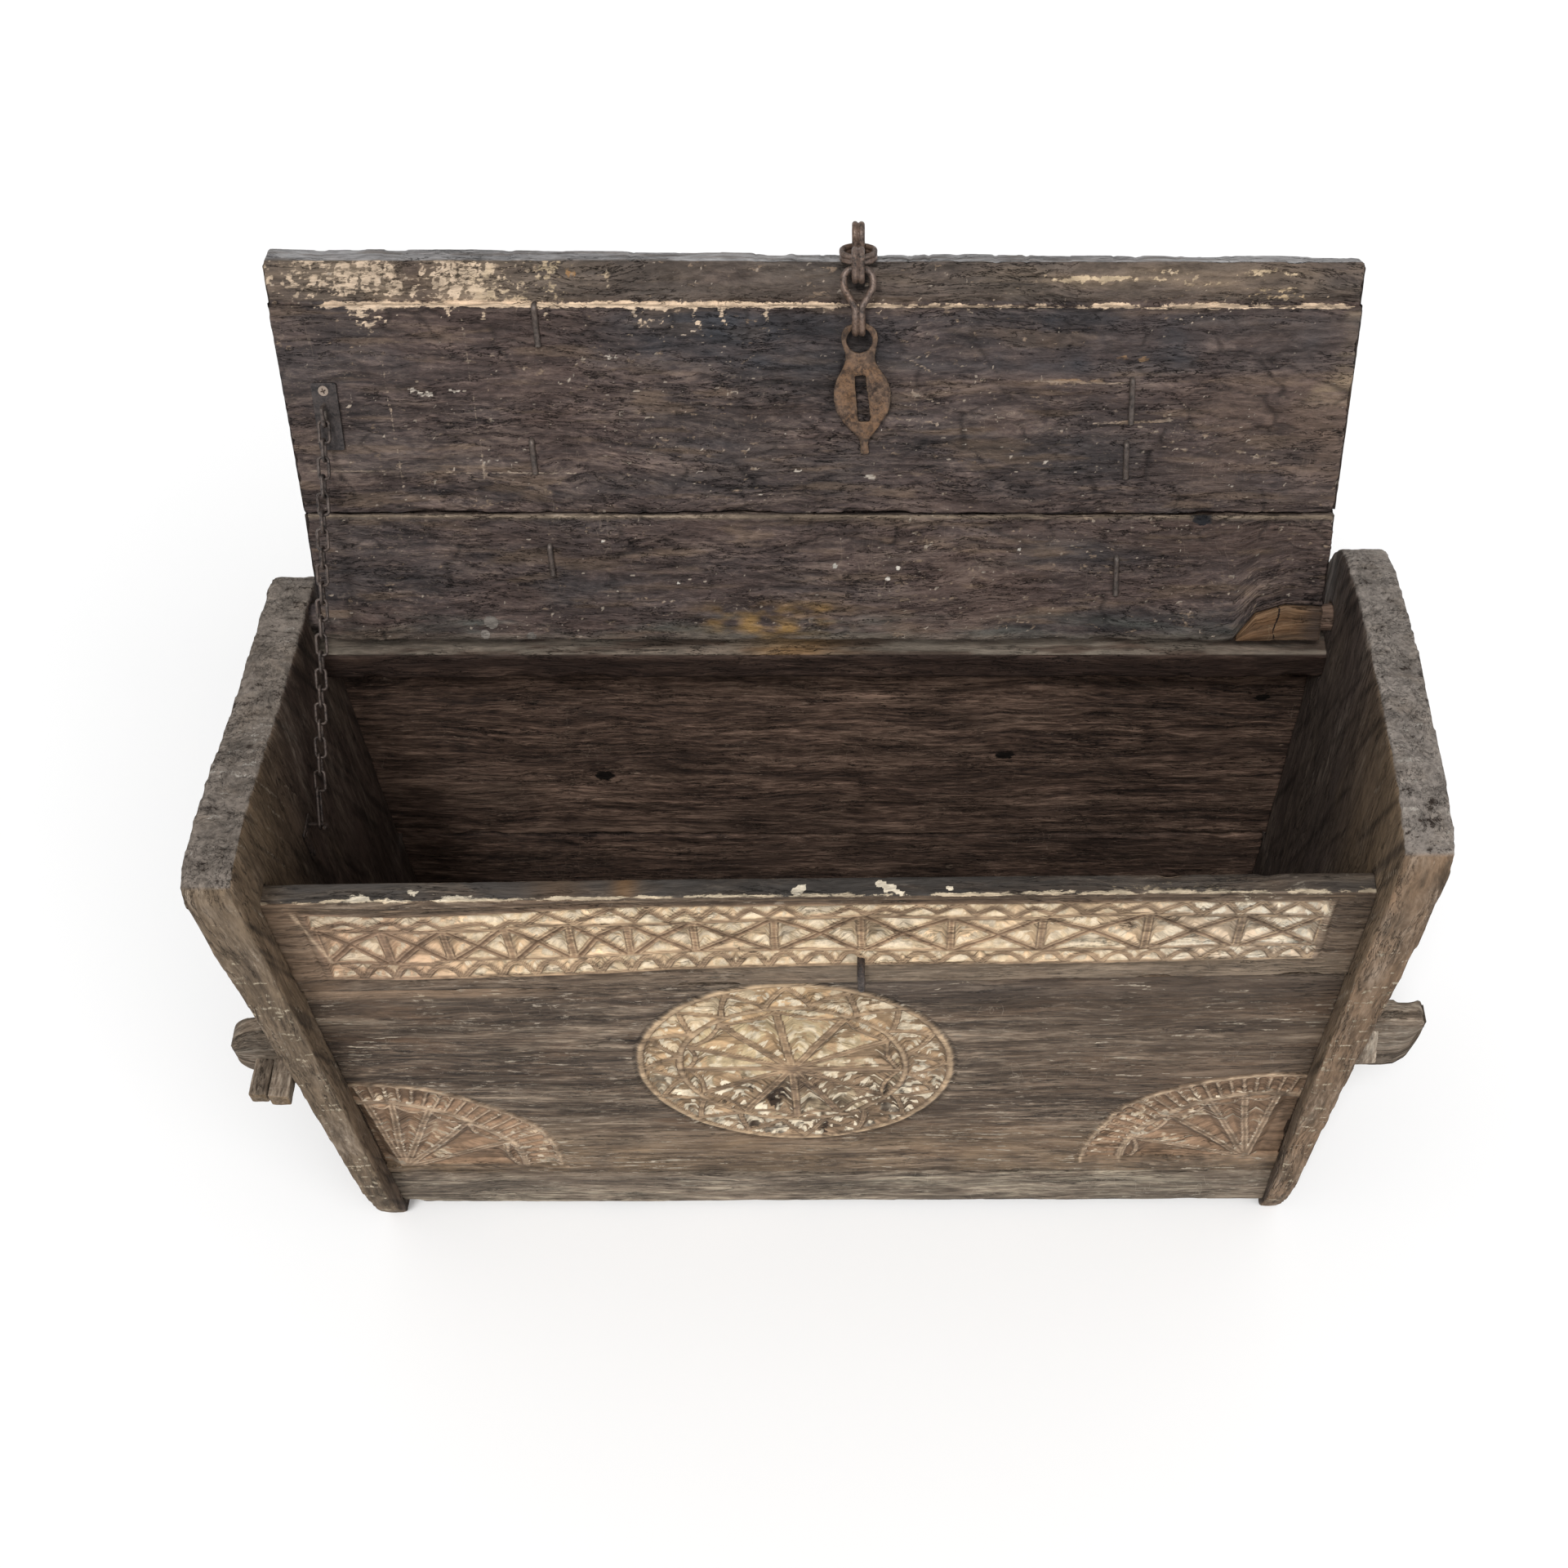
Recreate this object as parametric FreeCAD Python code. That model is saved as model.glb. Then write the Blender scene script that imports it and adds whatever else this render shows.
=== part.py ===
import FreeCAD, Part
import math
import os

V = FreeCAD.Vector
os.makedirs("parts", exist_ok=True)

# ---------------------------------------------------------------- dimensions
# millimetres.  X runs along the chest, -Y is its front, Z is up.
# The shape is laid out with Y = 0 on the front boards' face and Z = 0 on the
# underside of the bottom rail, then moved so that the origin is the middle of
# the bounding box's bottom face, on the floor.
FLOOR_GAP = 12.0          # bottom rail's underside above the floor
MID_Y = 237.2             # middle of the whole depth, lid open
HALF_IN = 500.0           # half of the inside width
END_T = 46.0              # end board thickness at the top
END_TAPER = 19.0          # how much thinner it is at the floor
HOUSE = 10.0              # how deep the boards sit in the end boards
BOARD_T = 30.0            # front board thickness
TENON_X = 606.5           # tip of the through tenons
RAIL_TOP = 75.5
LOW_Z0 = 77.5
JOINT_L, JOINT_R = 477.0, 505.5
TOP_L, TOP_R = 632.0, 648.0
BACK_Y = 345.0            # inner face of the back boards
HINGE_Y, HINGE_Z = 327.0, 652.0
LEAN = 27.0               # open lid, degrees past upright
CLOSE = 90.0 + LEAN       # travel to the closed pose
LID_T = 30.0
LID_X0, LID_X1 = -492.0, 492.0
LID_BACK, LID_JOINT, LID_FRONT = -20.0, 109.5, 338.0
RABBET = 303.0
PINTLE_R, SOCKET_R = 14.0, 14.05
HASP_X = 37.0
WIRE = 5.5                # hasp wire diameter
STAY_X0, STAY_X1 = -456.0, -488.0
STAY_P1 = (200.0, 25.0)   # stay chain's pivot on the lid: along the lid, off its mid plane
STAY_P2 = (140.2, 562.0)  # stay chain's pivot on the end board: y, z
LINK_D = 3.0              # stay chain wire

S, C = math.sin(math.radians(LEAN)), math.cos(math.radians(LEAN))
made = {}


def out(name, shape):
    solids = shape.Solids
    made[name] = shape if len(solids) != 1 else solids[0]


def cut(shape, *tools):
    for t in tools:
        shape = shape.cut(t)
    return shape


def box(x0, x1, y0, y1, z0, z1):
    return Part.makeBox(x1 - x0, y1 - y0, z1 - z0, V(x0, y0, z0))


def prism(points, direction):
    """A closed outline (list of vectors) pushed along a vector."""
    return Part.Face(Part.makePolygon(points + [points[0]])).extrude(direction)


def xz(points, y0, y1):
    return prism([V(x, y0, z) for x, z in points], V(0, y1 - y0, 0))


def soften(shape, r, keep=lambda e: True):
    """Round the edges that keep() picks; leave the shape as it is if that can't be done."""
    edges = [e for e in shape.Edges if keep(e)]
    try:
        new = shape.makeFillet(r, edges)
        return new if new.isValid() and new.Solids else shape
    except Exception:
        return shape


# a point of the lid: x, distance a along the lid from the hinge, b off its middle
# plane towards the inner face.  Given in the open (rest) pose.
def lid(x, a, b):
    return V(x, HINGE_Y + a * S - b * C, HINGE_Z + a * C + b * S)


def lid_box(x0, x1, a0, a1, b0, b1):
    pts = [lid(x0, a0, b0), lid(x0, a1, b0), lid(x0, a1, b1), lid(x0, a0, b1)]
    return prism(pts, V(x1 - x0, 0, 0))


U = V(0, S, C)            # along the lid
N = V(0, -C, S)           # off its inner face
X = V(1, 0, 0)


def path(points, r, closed=False):
    """Straight runs joined by arcs of radius r (or a list of radii)."""
    n = len(points)
    rs = r if isinstance(r, list) else [r] * n
    corners = range(n) if closed else range(1, n - 1)
    arcs = {}
    for i in corners:
        p, a, b = points[i], points[i - 1], points[(i + 1) % n]
        d1, d2 = (a - p).normalize(), (b - p).normalize()
        ang = d1.getAngle(d2)
        t = rs[i] / math.tan(ang / 2)
        mid = (d1 + d2).normalize()
        ctr = p + mid * (rs[i] / math.sin(ang / 2))
        arcs[i] = (p + d1 * t, ctr - mid * rs[i], p + d2 * t)
    edges = []
    for i in range(n if closed else n - 1):
        j = (i + 1) % n
        start = arcs[i][2] if i in arcs else points[i]
        end = arcs[j][0] if j in arcs else points[j]
        if (end - start).Length > 1e-4:
            edges.append(Part.makeLine(start, end))
        if j in arcs and (closed or j < n - 1):
            edges.append(Part.Arc(*arcs[j]).toShape())
    return edges


def rod(edges, r):
    """A round rod along a chain of edges: one swept solid for each edge, then joined."""
    wire = Part.Wire(edges)
    e = edges[0]
    at, tan = e.valueAt(e.FirstParameter), e.tangentAt(e.FirstParameter)
    ring = Part.Wire([Part.makeCircle(r, at, tan)])
    solid = wire.makePipeShell([ring], True, False)
    if isinstance(solid, Part.Shell):
        solid = Part.Solid(solid)
    if solid.Volume < 0:
        solid.reverse()
    return solid


# ---------------------------------------------------------------- end boards
LEFT = [(-5, -12), (-22, 30), (-30, 90), (-31, 250), (-34, 480), (-38, 640), (-39, 690),
        (-34, 705), (-18, 711), (40, 711), (100, 703), (170, 690), (240, 682), (300, 676),
        (350, 672), (372, 662), (383, 642), (386, 560), (385, 200), (384, -12),
        (296, -12), (262, 6), (205, 15), (150, 13), (104, 2), (84, -12)]
RIGHT = [(-2, -12), (-13, 30), (-20, 90), (-21, 300), (-27, 480), (-32, 660), (-34, 722),
         (-29, 744), (-8, 753), (47, 761), (129, 758), (194, 756), (262, 748), (320, 736),
         (352, 722), (372, 698), (383, 660), (386, 560), (385, 200), (384, -12),
         (300, -12), (266, 5), (208, 14), (150, 12), (106, 2), (88, -12)]


def end_board(outline, side):
    x_in = side * HALF_IN
    slab = prism([V(x_in, y, z) for y, z in outline], V(side * (END_T + 1), 0, 0))
    x_top, x_bot = HALF_IN + END_T, HALF_IN + END_T - END_TAPER
    keep = xz([(side * 480, -30), (side * 480, 900), (side * x_top, 900), (side * x_top, 600),
               (side * x_bot, 0), (side * (x_bot - 2), -30)], -100, 500)
    return slab.common(keep)


left_end = end_board(LEFT, -1)
right_end = end_board(RIGHT, 1)


# ---------------------------------------------------------------- front boards
def jz(x):                       # joint line between the two front boards
    return JOINT_L + (JOINT_R - JOINT_L) * (x + HALF_IN) / (2 * HALF_IN)


def tz(x):                       # top edge of the front
    return TOP_L + (TOP_R - TOP_L) * (x + HALF_IN) / (2 * HALF_IN)


E = HALF_IN + HOUSE
upper = xz([(-E, jz(-E) + 1.5), (E, jz(E) + 1.5), (E, tz(E)), (200, tz(200) + 1.5), (-150, tz(-150) + 2.5),
            (-E, tz(-E))], 0, BOARD_T)
upper = soften(upper, 3.0, lambda e: e.BoundBox.XLength > 200 and e.BoundBox.ZMin > 600 and e.BoundBox.YMax < 5)
# its back is thinner towards the top, where it enters the lid's rabbet
thin = [(BOARD_T + 0.5, 598), (26.0, 629), (22.8, 636), (22.2, 665), (45, 665), (45, 598)]
upper = upper.cut(prism([V(-E - 5, y, z) for y, z in thin], V(2 * E + 10, 0, 0)))

lower = xz([(-E, LOW_Z0), (E, LOW_Z0), (E, jz(E)), (-E, jz(-E))], 2, BOARD_T)
t_l = xz([(-E + 2, 300), (-E + 2, 389), (-586, 389), (-600, 376), (-TENON_X, 352), (-TENON_X, 334),
          (-600, 314), (-584, 300)], 4, 28)
t_r = xz([(E - 2, 318), (E - 2, 412), (598, 412), (TENON_X, 404), (TENON_X - 3, 380), (597, 336),
          (588, 321), (576, 318)], 4, 31)
lower = lower.fuse(t_l).fuse(t_r).removeSplitter()
rail = xz([(-E, 0), (E, 0), (E, RAIL_TOP), (-E, RAIL_TOP)], 1.5, 29)
rail = soften(rail, 3.0, lambda e: e.BoundBox.XLength > 500 and e.BoundBox.YMax < 10)

# ---------------------------------------------------------------- back
back_rail = box(-E, E, 305, 377, 584, 620)
back_rail = soften(back_rail, 5.0, lambda e: e.BoundBox.XLength > 500 and e.BoundBox.YMax < 310)
back_upper = box(-E, E, BACK_Y, 375, 262, 582.5)
for side in (-1, 1):
    back_upper = back_upper.fuse(xz([(side * (E - 2), 330), (side * (E - 2), 412), (side * 590, 412),
                                     (side * 600, 400), (side * 600, 342), (side * 590, 330)], 348, 372))
back_upper = back_upper.removeSplitter()
back_lower = box(-E, E, 351, 375, 20, 250)

# ---------------------------------------------------------------- floor
floor_f = box(-E, E, 30.5, 190, 44, 68)
floor_b = box(-E, E, 191.5, 350, 44, 68)

# ---------------------------------------------------------------- tusk wedges


def wedge(plan, z0, z1):
    return prism([V(x, y, z0) for x, y in plan], V(0, 0, z1 - z0))


w_fl_out = prism([V(-586, -38, 325), V(-567, -38, 325), V(-567, -38, 341), V(-586, -38, 343)], V(0, 97, 0))
w_fl_in = prism([V(-566, -40, 323), V(-545, -40, 323), V(-545, -40, 341), V(-566, -40, 343)], V(0, 100, 0))
w_fl_in = w_fl_in.fuse(prism([V(-545, 32, 323), V(-545, 60, 323), V(-538.2, 60, 323), V(-539.5, 32, 323)],
                             V(0, 0, 18))).removeSplitter()
w_bl = prism([V(-575, 332, 360), V(-542, 332, 360), V(-542, 332, 378), V(-575, 332, 378)], V(0, 74, 0))
w_br = prism([V(575, 332, 360), V(575, 332, 378), V(542, 332, 378), V(542, 332, 360)], V(0, 74, 0))
right_outer_at = HALF_IN + END_T - END_TAPER * (600 - 326) / 600
w_fr = xz([(right_outer_at + 0.4, 326), (570, 326), (559, 392), (right_outer_at + 2.6, 392)], 2, 44)
lower = cut(lower, w_fl_out, w_fl_in, w_fr)
back_upper = cut(back_upper, w_bl, w_br)

# ---------------------------------------------------------------- the lid
front_plank = lid_box(LID_X0, LID_X1, LID_JOINT + 1.2, LID_FRONT, -LID_T / 2, LID_T / 2)
step = [lid(LID_X0 - 5, RABBET, LID_T / 2 + 5), lid(LID_X0 - 5, LID_FRONT + 5, LID_T / 2 + 5),
        lid(LID_X0 - 5, LID_FRONT + 5, LID_T / 2 - 5), lid(LID_X0 - 5, RABBET, LID_T / 2 - 5)]
step2 = [lid(LID_X1 + 5, RABBET, LID_T / 2 + 5), lid(LID_X1 + 5, LID_FRONT + 5, LID_T / 2 + 5),
         lid(LID_X1 + 5, LID_FRONT + 5, LID_T / 2 - 12), lid(LID_X1 + 5, RABBET, LID_T / 2 - 12)]
rabbet = Part.makeLoft([Part.makePolygon(step + [step[0]]), Part.makePolygon(step2 + [step2[0]])], True, True)
front_plank = front_plank.cut(rabbet)
front_plank = soften(front_plank, 3.0, lambda e: e.BoundBox.XLength > 900 and e.BoundBox.ZMin > 940)
rear_plank = lid_box(LID_X0, LID_X1, LID_BACK, LID_JOINT, -LID_T / 2, LID_T / 2)
rear_plank = soften(rear_plank, 3.0, lambda e: e.BoundBox.XLength > 900 and e.BoundBox.ZMax < 652)


def turned(r, x0, x1):
    return Part.makeCylinder(r, x1 - x0, V(x0, HINGE_Y, HINGE_Z), X)


patch_out = [(404, LID_BACK), (424, 8), (452, 17), (LID_X1, 15.5), (LID_X1, LID_BACK)]
patch = prism([lid(x, a, -LID_T / 2) for x, a in patch_out], N * LID_T)
patch = patch.common(rear_plank)
rear_plank = rear_plank.cut(patch)
patch = patch.fuse(turned(PINTLE_R, 480, HALF_IN + 26)).removeSplitter()
rear_plank = rear_plank.fuse(turned(PINTLE_R, -HALF_IN - 26, -480)).removeSplitter()
left_end = left_end.cut(turned(SOCKET_R, -HALF_IN - 27, -HALF_IN + 5))
right_end = right_end.cut(turned(SOCKET_R, HALF_IN - 5, HALF_IN + 27))

batten = {}
for name, x in (("left", -262.0), ("right", 286.0)):
    b = lid_box(x - 24, x + 24, 28, 322, -LID_T / 2 - 22, -LID_T / 2)
    batten[name] = soften(b, 4.0, lambda e: e.Length > 250)

# clinched nails: a round head outside, a shank through batten and plank, and the
# tail bent flat on the inner face
NAILS = {"left": [(-256, 302, 266), (-269, 179, 148), (-261, 78, 48)],
         "right": [(289, 237, 196), (287, 178, 144), (284, 66, 28)]}
nails = {}
for name, rows in NAILS.items():
    group = []
    for x, a0, a1 in rows:
        # head end of the shank is where the tail starts
        tail = rod(path([lid(x, a0, -LID_T / 2 - 22), lid(x, a0, LID_T / 2 + 1.2), lid(x + 1, a1, LID_T / 2 + 1.0)],
                        3.0), 2.2)
        head = Part.makeCylinder(8.0, 2.5, lid(x, a0, -LID_T / 2 - 22), N * -1)
        group.append(tail.fuse(head).removeSplitter())
    nails[name] = Part.makeCompound([g.Solids[0] for g in group])
for name in ("left", "right"):
    front_plank = front_plank.cut(nails[name])
    rear_plank = rear_plank.cut(nails[name])
    batten[name] = batten[name].cut(nails[name])

# ---------------------------------------------------------------- hasp staple and chain
R = WIRE / 2
staple = []
for dx in (-2.9, 2.9):
    x = HASP_X + dx
    staple.append(rod(path([lid(x, 320, -4), lid(x, 368, -4), lid(x, 368, -23), lid(x, 333, -23),
                            lid(x, 326, -12)], [0, 9.4, 9.4, 5, 0]), R))
lid_staple = Part.makeCompound(staple)
front_plank = front_plank.cut(lid_staple)

# doubled ring lying on the lid's front edge, its back raised in the staple
TILT = math.radians(8)
ring_dir = V(0, 0, 0) + N * math.cos(TILT) - U * math.sin(TILT)       # back to front
ring_up = U * math.cos(TILT) + N * math.sin(TILT)
RW = 2.3                                                               # ring wire radius
ring_front = lid(HASP_X, 343.4, 17.5)                                  # middle of the doubled wire at the front
ring = []
for k in (-1, 1):
    mid = ring_front + ring_up * (2.29 * k)
    pts = []
    half, deep = 14.7, 30.0
    for sx, d in ((1, 0), (1, deep), (-1, deep), (-1, 0)):
        pts.append(mid + X * (half * sx) - ring_dir * d)
    ring.append(rod(path(pts, 12.6, closed=True), RW))
hasp_ring = ring[0].fuse(ring[1])
ring_back = ring_front - ring_dir * 30.0 - ring_up * 2.29       # middle of the inner wire at the back

# folded double link: two bars, round the ring's front and the next link's top
cb, cr = 17.5, 8.2                                 # middle of its opening off the lid's mid plane, and its bends
ca1, ca2 = 343.4, 333.6
link2 = []
for dx in (-2.9, 2.9):
    x = HASP_X + dx
    link2.append(rod([Part.makeLine(lid(x, ca2, cb - cr), lid(x, ca1, cb - cr)),
                      Part.Arc(lid(x, ca1, cb - cr), lid(x, ca1 + cr, cb), lid(x, ca1, cb + cr)).toShape(),
                      Part.makeLine(lid(x, ca1, cb + cr), lid(x, ca2, cb + cr)),
                      Part.Arc(lid(x, ca2, cb + cr), lid(x, ca2 - cr, cb), lid(x, ca2, cb - cr)).toShape()], R))
double_link = Part.makeCompound(link2)
hinge_link = ring_front

# teardrop link: an eye, a pinched neck and a hook round the hasp's eye
D_TOP = (335.6, 18.3)
EYE_A, EYE_B = 287.0, 24.0                         # middle of the hasp eye's top bar
neck = []
b_neck = EYE_B + 6.2


def dpt(x, a, b):
    return lid(HASP_X + x, a, b)


def slope(a):                                      # how the link rises off the lid towards its hook
    t = (D_TOP[0] - a) / (D_TOP[0] - 296.0)
    return D_TOP[1] + (b_neck - D_TOP[1]) * max(0.0, min(1.0, t))


def half_drop(s):
    pts = [dpt(0, D_TOP[0], D_TOP[1]), dpt(13.2 * s, D_TOP[0], D_TOP[1]),
           dpt(13.2 * s, 320, slope(320)), dpt(2.95 * s, 304, slope(304)),
           dpt(2.95 * s, EYE_A + 2, b_neck), dpt(2.95 * s, EYE_A - 6.2, b_neck),
           dpt(2.95 * s, EYE_A - 6.2, EYE_B - 6.2), dpt(2.95 * s, EYE_A + 5, EYE_B - 6.2)]
    return rod(path(pts, [0, 9.5, 9, 7, 5, 6.1, 6.1, 0]), R)


dl, dr = half_drop(-1), half_drop(1)
teardrop = dl.fuse(dr).removeSplitter()

# hasp: a flat eye, a wide body with a slot, and a short tail; it leans in to the lid
lean = math.radians(3.0)
HU = U * math.cos(lean) + N * math.sin(lean)       # up the hasp
HN = N * math.cos(lean) - U * math.sin(lean)
HO = lid(HASP_X, EYE_A, EYE_B)                     # eye's top bar
skew = math.radians(-2.4)
HX = X * math.cos(skew) - HU * math.sin(skew)
HV = HU * math.cos(skew) + X * math.sin(skew)


def hp(x, d, n=0.0):                               # x across, d down from the eye's bar
    return HO + HX * x - HV * d + HN * n


def smooth(points, closed=True):
    c = Part.BSplineCurve()
    c.interpolate(points, closed)
    return c.toShape()


right_side = [(9, -0.9), (15.5, 5), (17, 13), (14.5, 23), (13.5, 30.5), (17.5, 40), (23.5, 49), (26.6, 58.5), (26.6, 67.5),
              (23.8, 78), (17, 89.5), (8.5, 100.5), (4.4, 106), (3.8, 112.5)]
left_side = [(-4.2, 111), (-5.2, 105), (-10, 99), (-19, 88.5), (-25, 76.5), (-26.6, 65), (-25.4, 54.5), (-19.8, 43), (-14.5, 32),
             (-14, 24), (-16.8, 14), (-15.5, 5), (-9, -0.9)]


def at(x, d):
    return hp(x, d, -1.9)


blank = Part.Face(Part.Wire([
    Part.Arc(at(-9, -0.9), at(0, -2.0), at(9, -0.9)).toShape(), smooth([at(*p) for p in right_side], False),
    Part.makeLine(at(3.8, 112.5), at(4.2, 118.5)), Part.Arc(at(4.2, 118.5), at(0, 119.8), at(-4.5, 118)).toShape(),
    Part.makeLine(at(-4.5, 118), at(-4.2, 111)), smooth([at(*p) for p in left_side], False)])).extrude(HN * 3.8)
eye_hole = Part.makeCylinder(11.4, 20, hp(0, 13.0, -10), HN)
slot = prism([hp(x, d, -10) for x, d in ((-5.8, 45.2), (3.6, 45.2), (6.4, 84.5), (5.2, 88), (-4.6, 88))], HN * 20)
hasp = blank.cut(eye_hole).cut(slot)
bar = Part.makeCylinder(2.6, 14, HO - X * 7, X)
hasp = hasp.fuse(bar).removeSplitter()

# ---------------------------------------------------------------- front staple for the hasp
fs = rod(path([V(37, 22, 536), V(37, -15, 536), V(37, -15, 503), V(37, 22, 503)], [0, 8, 8, 0]), 3.0)
upper = upper.cut(fs)
lower = lower.cut(fs)

# ---------------------------------------------------------------- stay chain
P1 = lid(STAY_X0, *STAY_P1)
P2 = V(STAY_X1, *STAY_P2)
run = V(0, P2.y - P1.y, P2.z - P1.z)
T = run.Length
D1 = V(run).normalize()                            # down the chain
PITCH = (T + 3 - 6.6 + (HINGE_Z - STAY_P1[1]) - STAY_P2[1]) / 27.0
N_UP = 13
LINK_IN = PITCH + 0.3
HALF = (LINK_IN + 2 * LINK_D) / 2 - LINK_D / 2     # link middle to the middle of its end wire
L1 = 2 * HALF + PITCH * (N_UP - 1)
BEND = LINK_IN - LINK_D - 0.3
L2 = T - L1 - BEND
W_LINK = 9.4                                       # middle of one long side to the other
Q = X.cross(D1)                                    # across the chain, in the YZ plane


def chain_link(mid, half, flat):
    """One link: flat lies with its width along X, otherwise across the chain in YZ."""
    wdir = X if flat else Q
    w = W_LINK / 2
    pts = [mid + D1 * half + wdir * w, mid + D1 * half - wdir * w, mid - D1 * half - wdir * w,
           mid - D1 * half + wdir * w]
    return rod(path(pts, 3.6, closed=True), LINK_D / 2)


def stay_x(d):                                     # the chain drifts towards the end board
    return (STAY_X1 - STAY_X0) * d / T


ups = []
for i in range(N_UP):
    d = HALF + PITCH * i
    ups.append(chain_link(P1 + D1 * d + X * stay_x(d), HALF, i % 2 == 0))
stay_upper = Part.makeCompound(ups)
bend_mid = L1 + BEND / 2
stay_bend = chain_link(P1 + D1 * bend_mid + X * stay_x(bend_mid), HALF, False)
N_LOW = 7
lows = []
d0 = L1 + BEND
for i in range(N_LOW):
    d = d0 + HALF + PITCH * i
    lows.append(chain_link(P1 + D1 * d + X * stay_x(d), HALF, i % 2 == 0))
stay_lower = Part.makeCompound(lows)
# the long last link, hung on the hook
near = d0 + 2 * HALF + PITCH * (N_LOW - 1)         # end wire of the link before it
lo, hi = near - LINK_D / 2 - 0.15, T + 2.2 + 0.15  # its opening reaches past both
long_half = (hi - lo) / 2 + LINK_D / 2
mid_d = (hi + lo) / 2
w = 5.2
mid = P1 + D1 * mid_d + X * stay_x(mid_d)
stay_end = rod(path([mid + D1 * long_half + Q * w, mid + D1 * long_half - Q * w,
                     mid - D1 * long_half - Q * w, mid - D1 * long_half + Q * w], 4.6, closed=True), LINK_D / 2)

# plate, screw and eye on the lid
PB = LID_T / 2
plate = lid_box(-466, -443, 171, 233, PB, PB + 3)
plate = soften(plate, 2.0, lambda e: abs(e.Length - 3) < 0.1)
screw = Part.makeCylinder(4.6, 1.6, lid(-455, 226, PB + 2.2), N).fuse(
    Part.makeCylinder(2.2, 19, lid(-455, 226, PB + 2.3), N * -1))
for ang in (20, 110):
    d = (X * math.cos(math.radians(ang)) + U * math.sin(math.radians(ang)))
    o = (X * -math.sin(math.radians(ang)) + U * math.cos(math.radians(ang)))
    c0 = lid(-455, 226, PB + 2.8)
    screw = screw.cut(prism([c0 + d * 2.6 + o * 0.5, c0 - d * 2.6 + o * 0.5, c0 - d * 2.6 - o * 0.5,
                             c0 + d * 2.6 - o * 0.5], N * 3))
eye_r = 1.9
e_a, e_b = STAY_P1
ex = STAY_X0
eye = rod(path([lid(ex, 213, PB - 14), lid(ex, 213, e_b + 4.2), lid(ex, e_a - 4.2, e_b + 4.2),
                lid(ex, e_a - 4.2, e_b - 4.6), lid(ex, 208.6, PB + 6.4)], [0, 4.0, 4.0, 3.2, 0]), eye_r)
front_plank = cut(front_plank, screw, eye)
plate = cut(plate, screw, eye, Part.makeCylinder(4.6, 3, lid(-455, 226, PB + 2.2), N))

# hook and its little plate on the left end board
hook = rod(path([V(-HALF_IN - 22, STAY_P2[0], STAY_P2[1]), V(STAY_X1 + 7.4, STAY_P2[0], STAY_P2[1]),
                 V(STAY_X1 + 7.4, STAY_P2[0] - 9, STAY_P2[1] + 6)], [0, 2.6, 0]), 2.2)
hook_plate = box(-HALF_IN, -HALF_IN + 2.5, STAY_P2[0] - 20, STAY_P2[0] - 8, STAY_P2[1] - 34, STAY_P2[1] + 8)
hook_plate = hook_plate.fuse(box(-HALF_IN, -HALF_IN + 2.5, STAY_P2[0] - 12, STAY_P2[0] + 8, STAY_P2[1] - 7,
                                 STAY_P2[1] + 8)).removeSplitter()
plate_nails = Part.makeCompound([
    Part.makeCylinder(1.6, 20, V(-HALF_IN + 2.5, STAY_P2[0] - 14, STAY_P2[1] + dz), X * -1).fuse(
        Part.makeCylinder(3.4, 1.4, V(-HALF_IN + 2.5, STAY_P2[0] - 14, STAY_P2[1] + dz), X)).removeSplitter().Solids[0]
    for dz in (-28, 2)])
hook_plate = cut(hook_plate, hook, plate_nails)

# ---------------------------------------------------------------- housings and mortises
left_end = cut(left_end, upper, lower, rail, back_rail, back_upper, back_lower, floor_f, floor_b, hook, plate_nails)
right_end = cut(right_end, upper, lower, rail, back_rail, back_upper, back_lower, floor_f, floor_b)
w_fl_in, w_bl = cut(w_fl_in, left_end), cut(w_bl, left_end)
w_br, w_fr = cut(w_br, right_end), cut(w_fr, right_end)

out("left_end_board", left_end)
out("right_end_board", right_end)
out("front_upper_board", upper)
out("front_lower_board", lower)
out("front_bottom_rail", rail)
out("back_top_rail", back_rail)
out("back_upper_board", back_upper)
out("back_lower_board", back_lower)
out("floor_board_front", floor_f)
out("floor_board_back", floor_b)
out("tusk_wedge_front_left_outer", w_fl_out)
out("tusk_wedge_front_left_inner", w_fl_in)
out("tusk_wedge_front_right", w_fr)
out("tusk_wedge_back_left", w_bl)
out("tusk_wedge_back_right", w_br)
out("front_hasp_staple", fs)
out("stay_hook", hook)
out("stay_hook_plate", hook_plate)
out("stay_hook_nails", plate_nails)
out("lid_front_plank", front_plank)
out("lid_rear_plank", rear_plank)
out("lid_repair_patch", patch)
out("lid_batten_left", batten["left"])
out("lid_batten_right", batten["right"])
out("lid_clinched_nails_left", nails["left"])
out("lid_clinched_nails_right", nails["right"])
out("lid_hasp_staple", lid_staple)
out("stay_plate", plate)
out("stay_plate_screw", screw)
out("stay_plate_eye", eye)
out("hasp_ring", hasp_ring)
out("hasp_double_link", double_link)
out("hasp_teardrop_link", teardrop)
out("hasp_plate", hasp)
out("stay_chain_upper_links", stay_upper)
out("stay_chain_bend_link", stay_bend)
out("stay_chain_lower_links", stay_lower)
out("stay_chain_end_link", stay_end)

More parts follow.
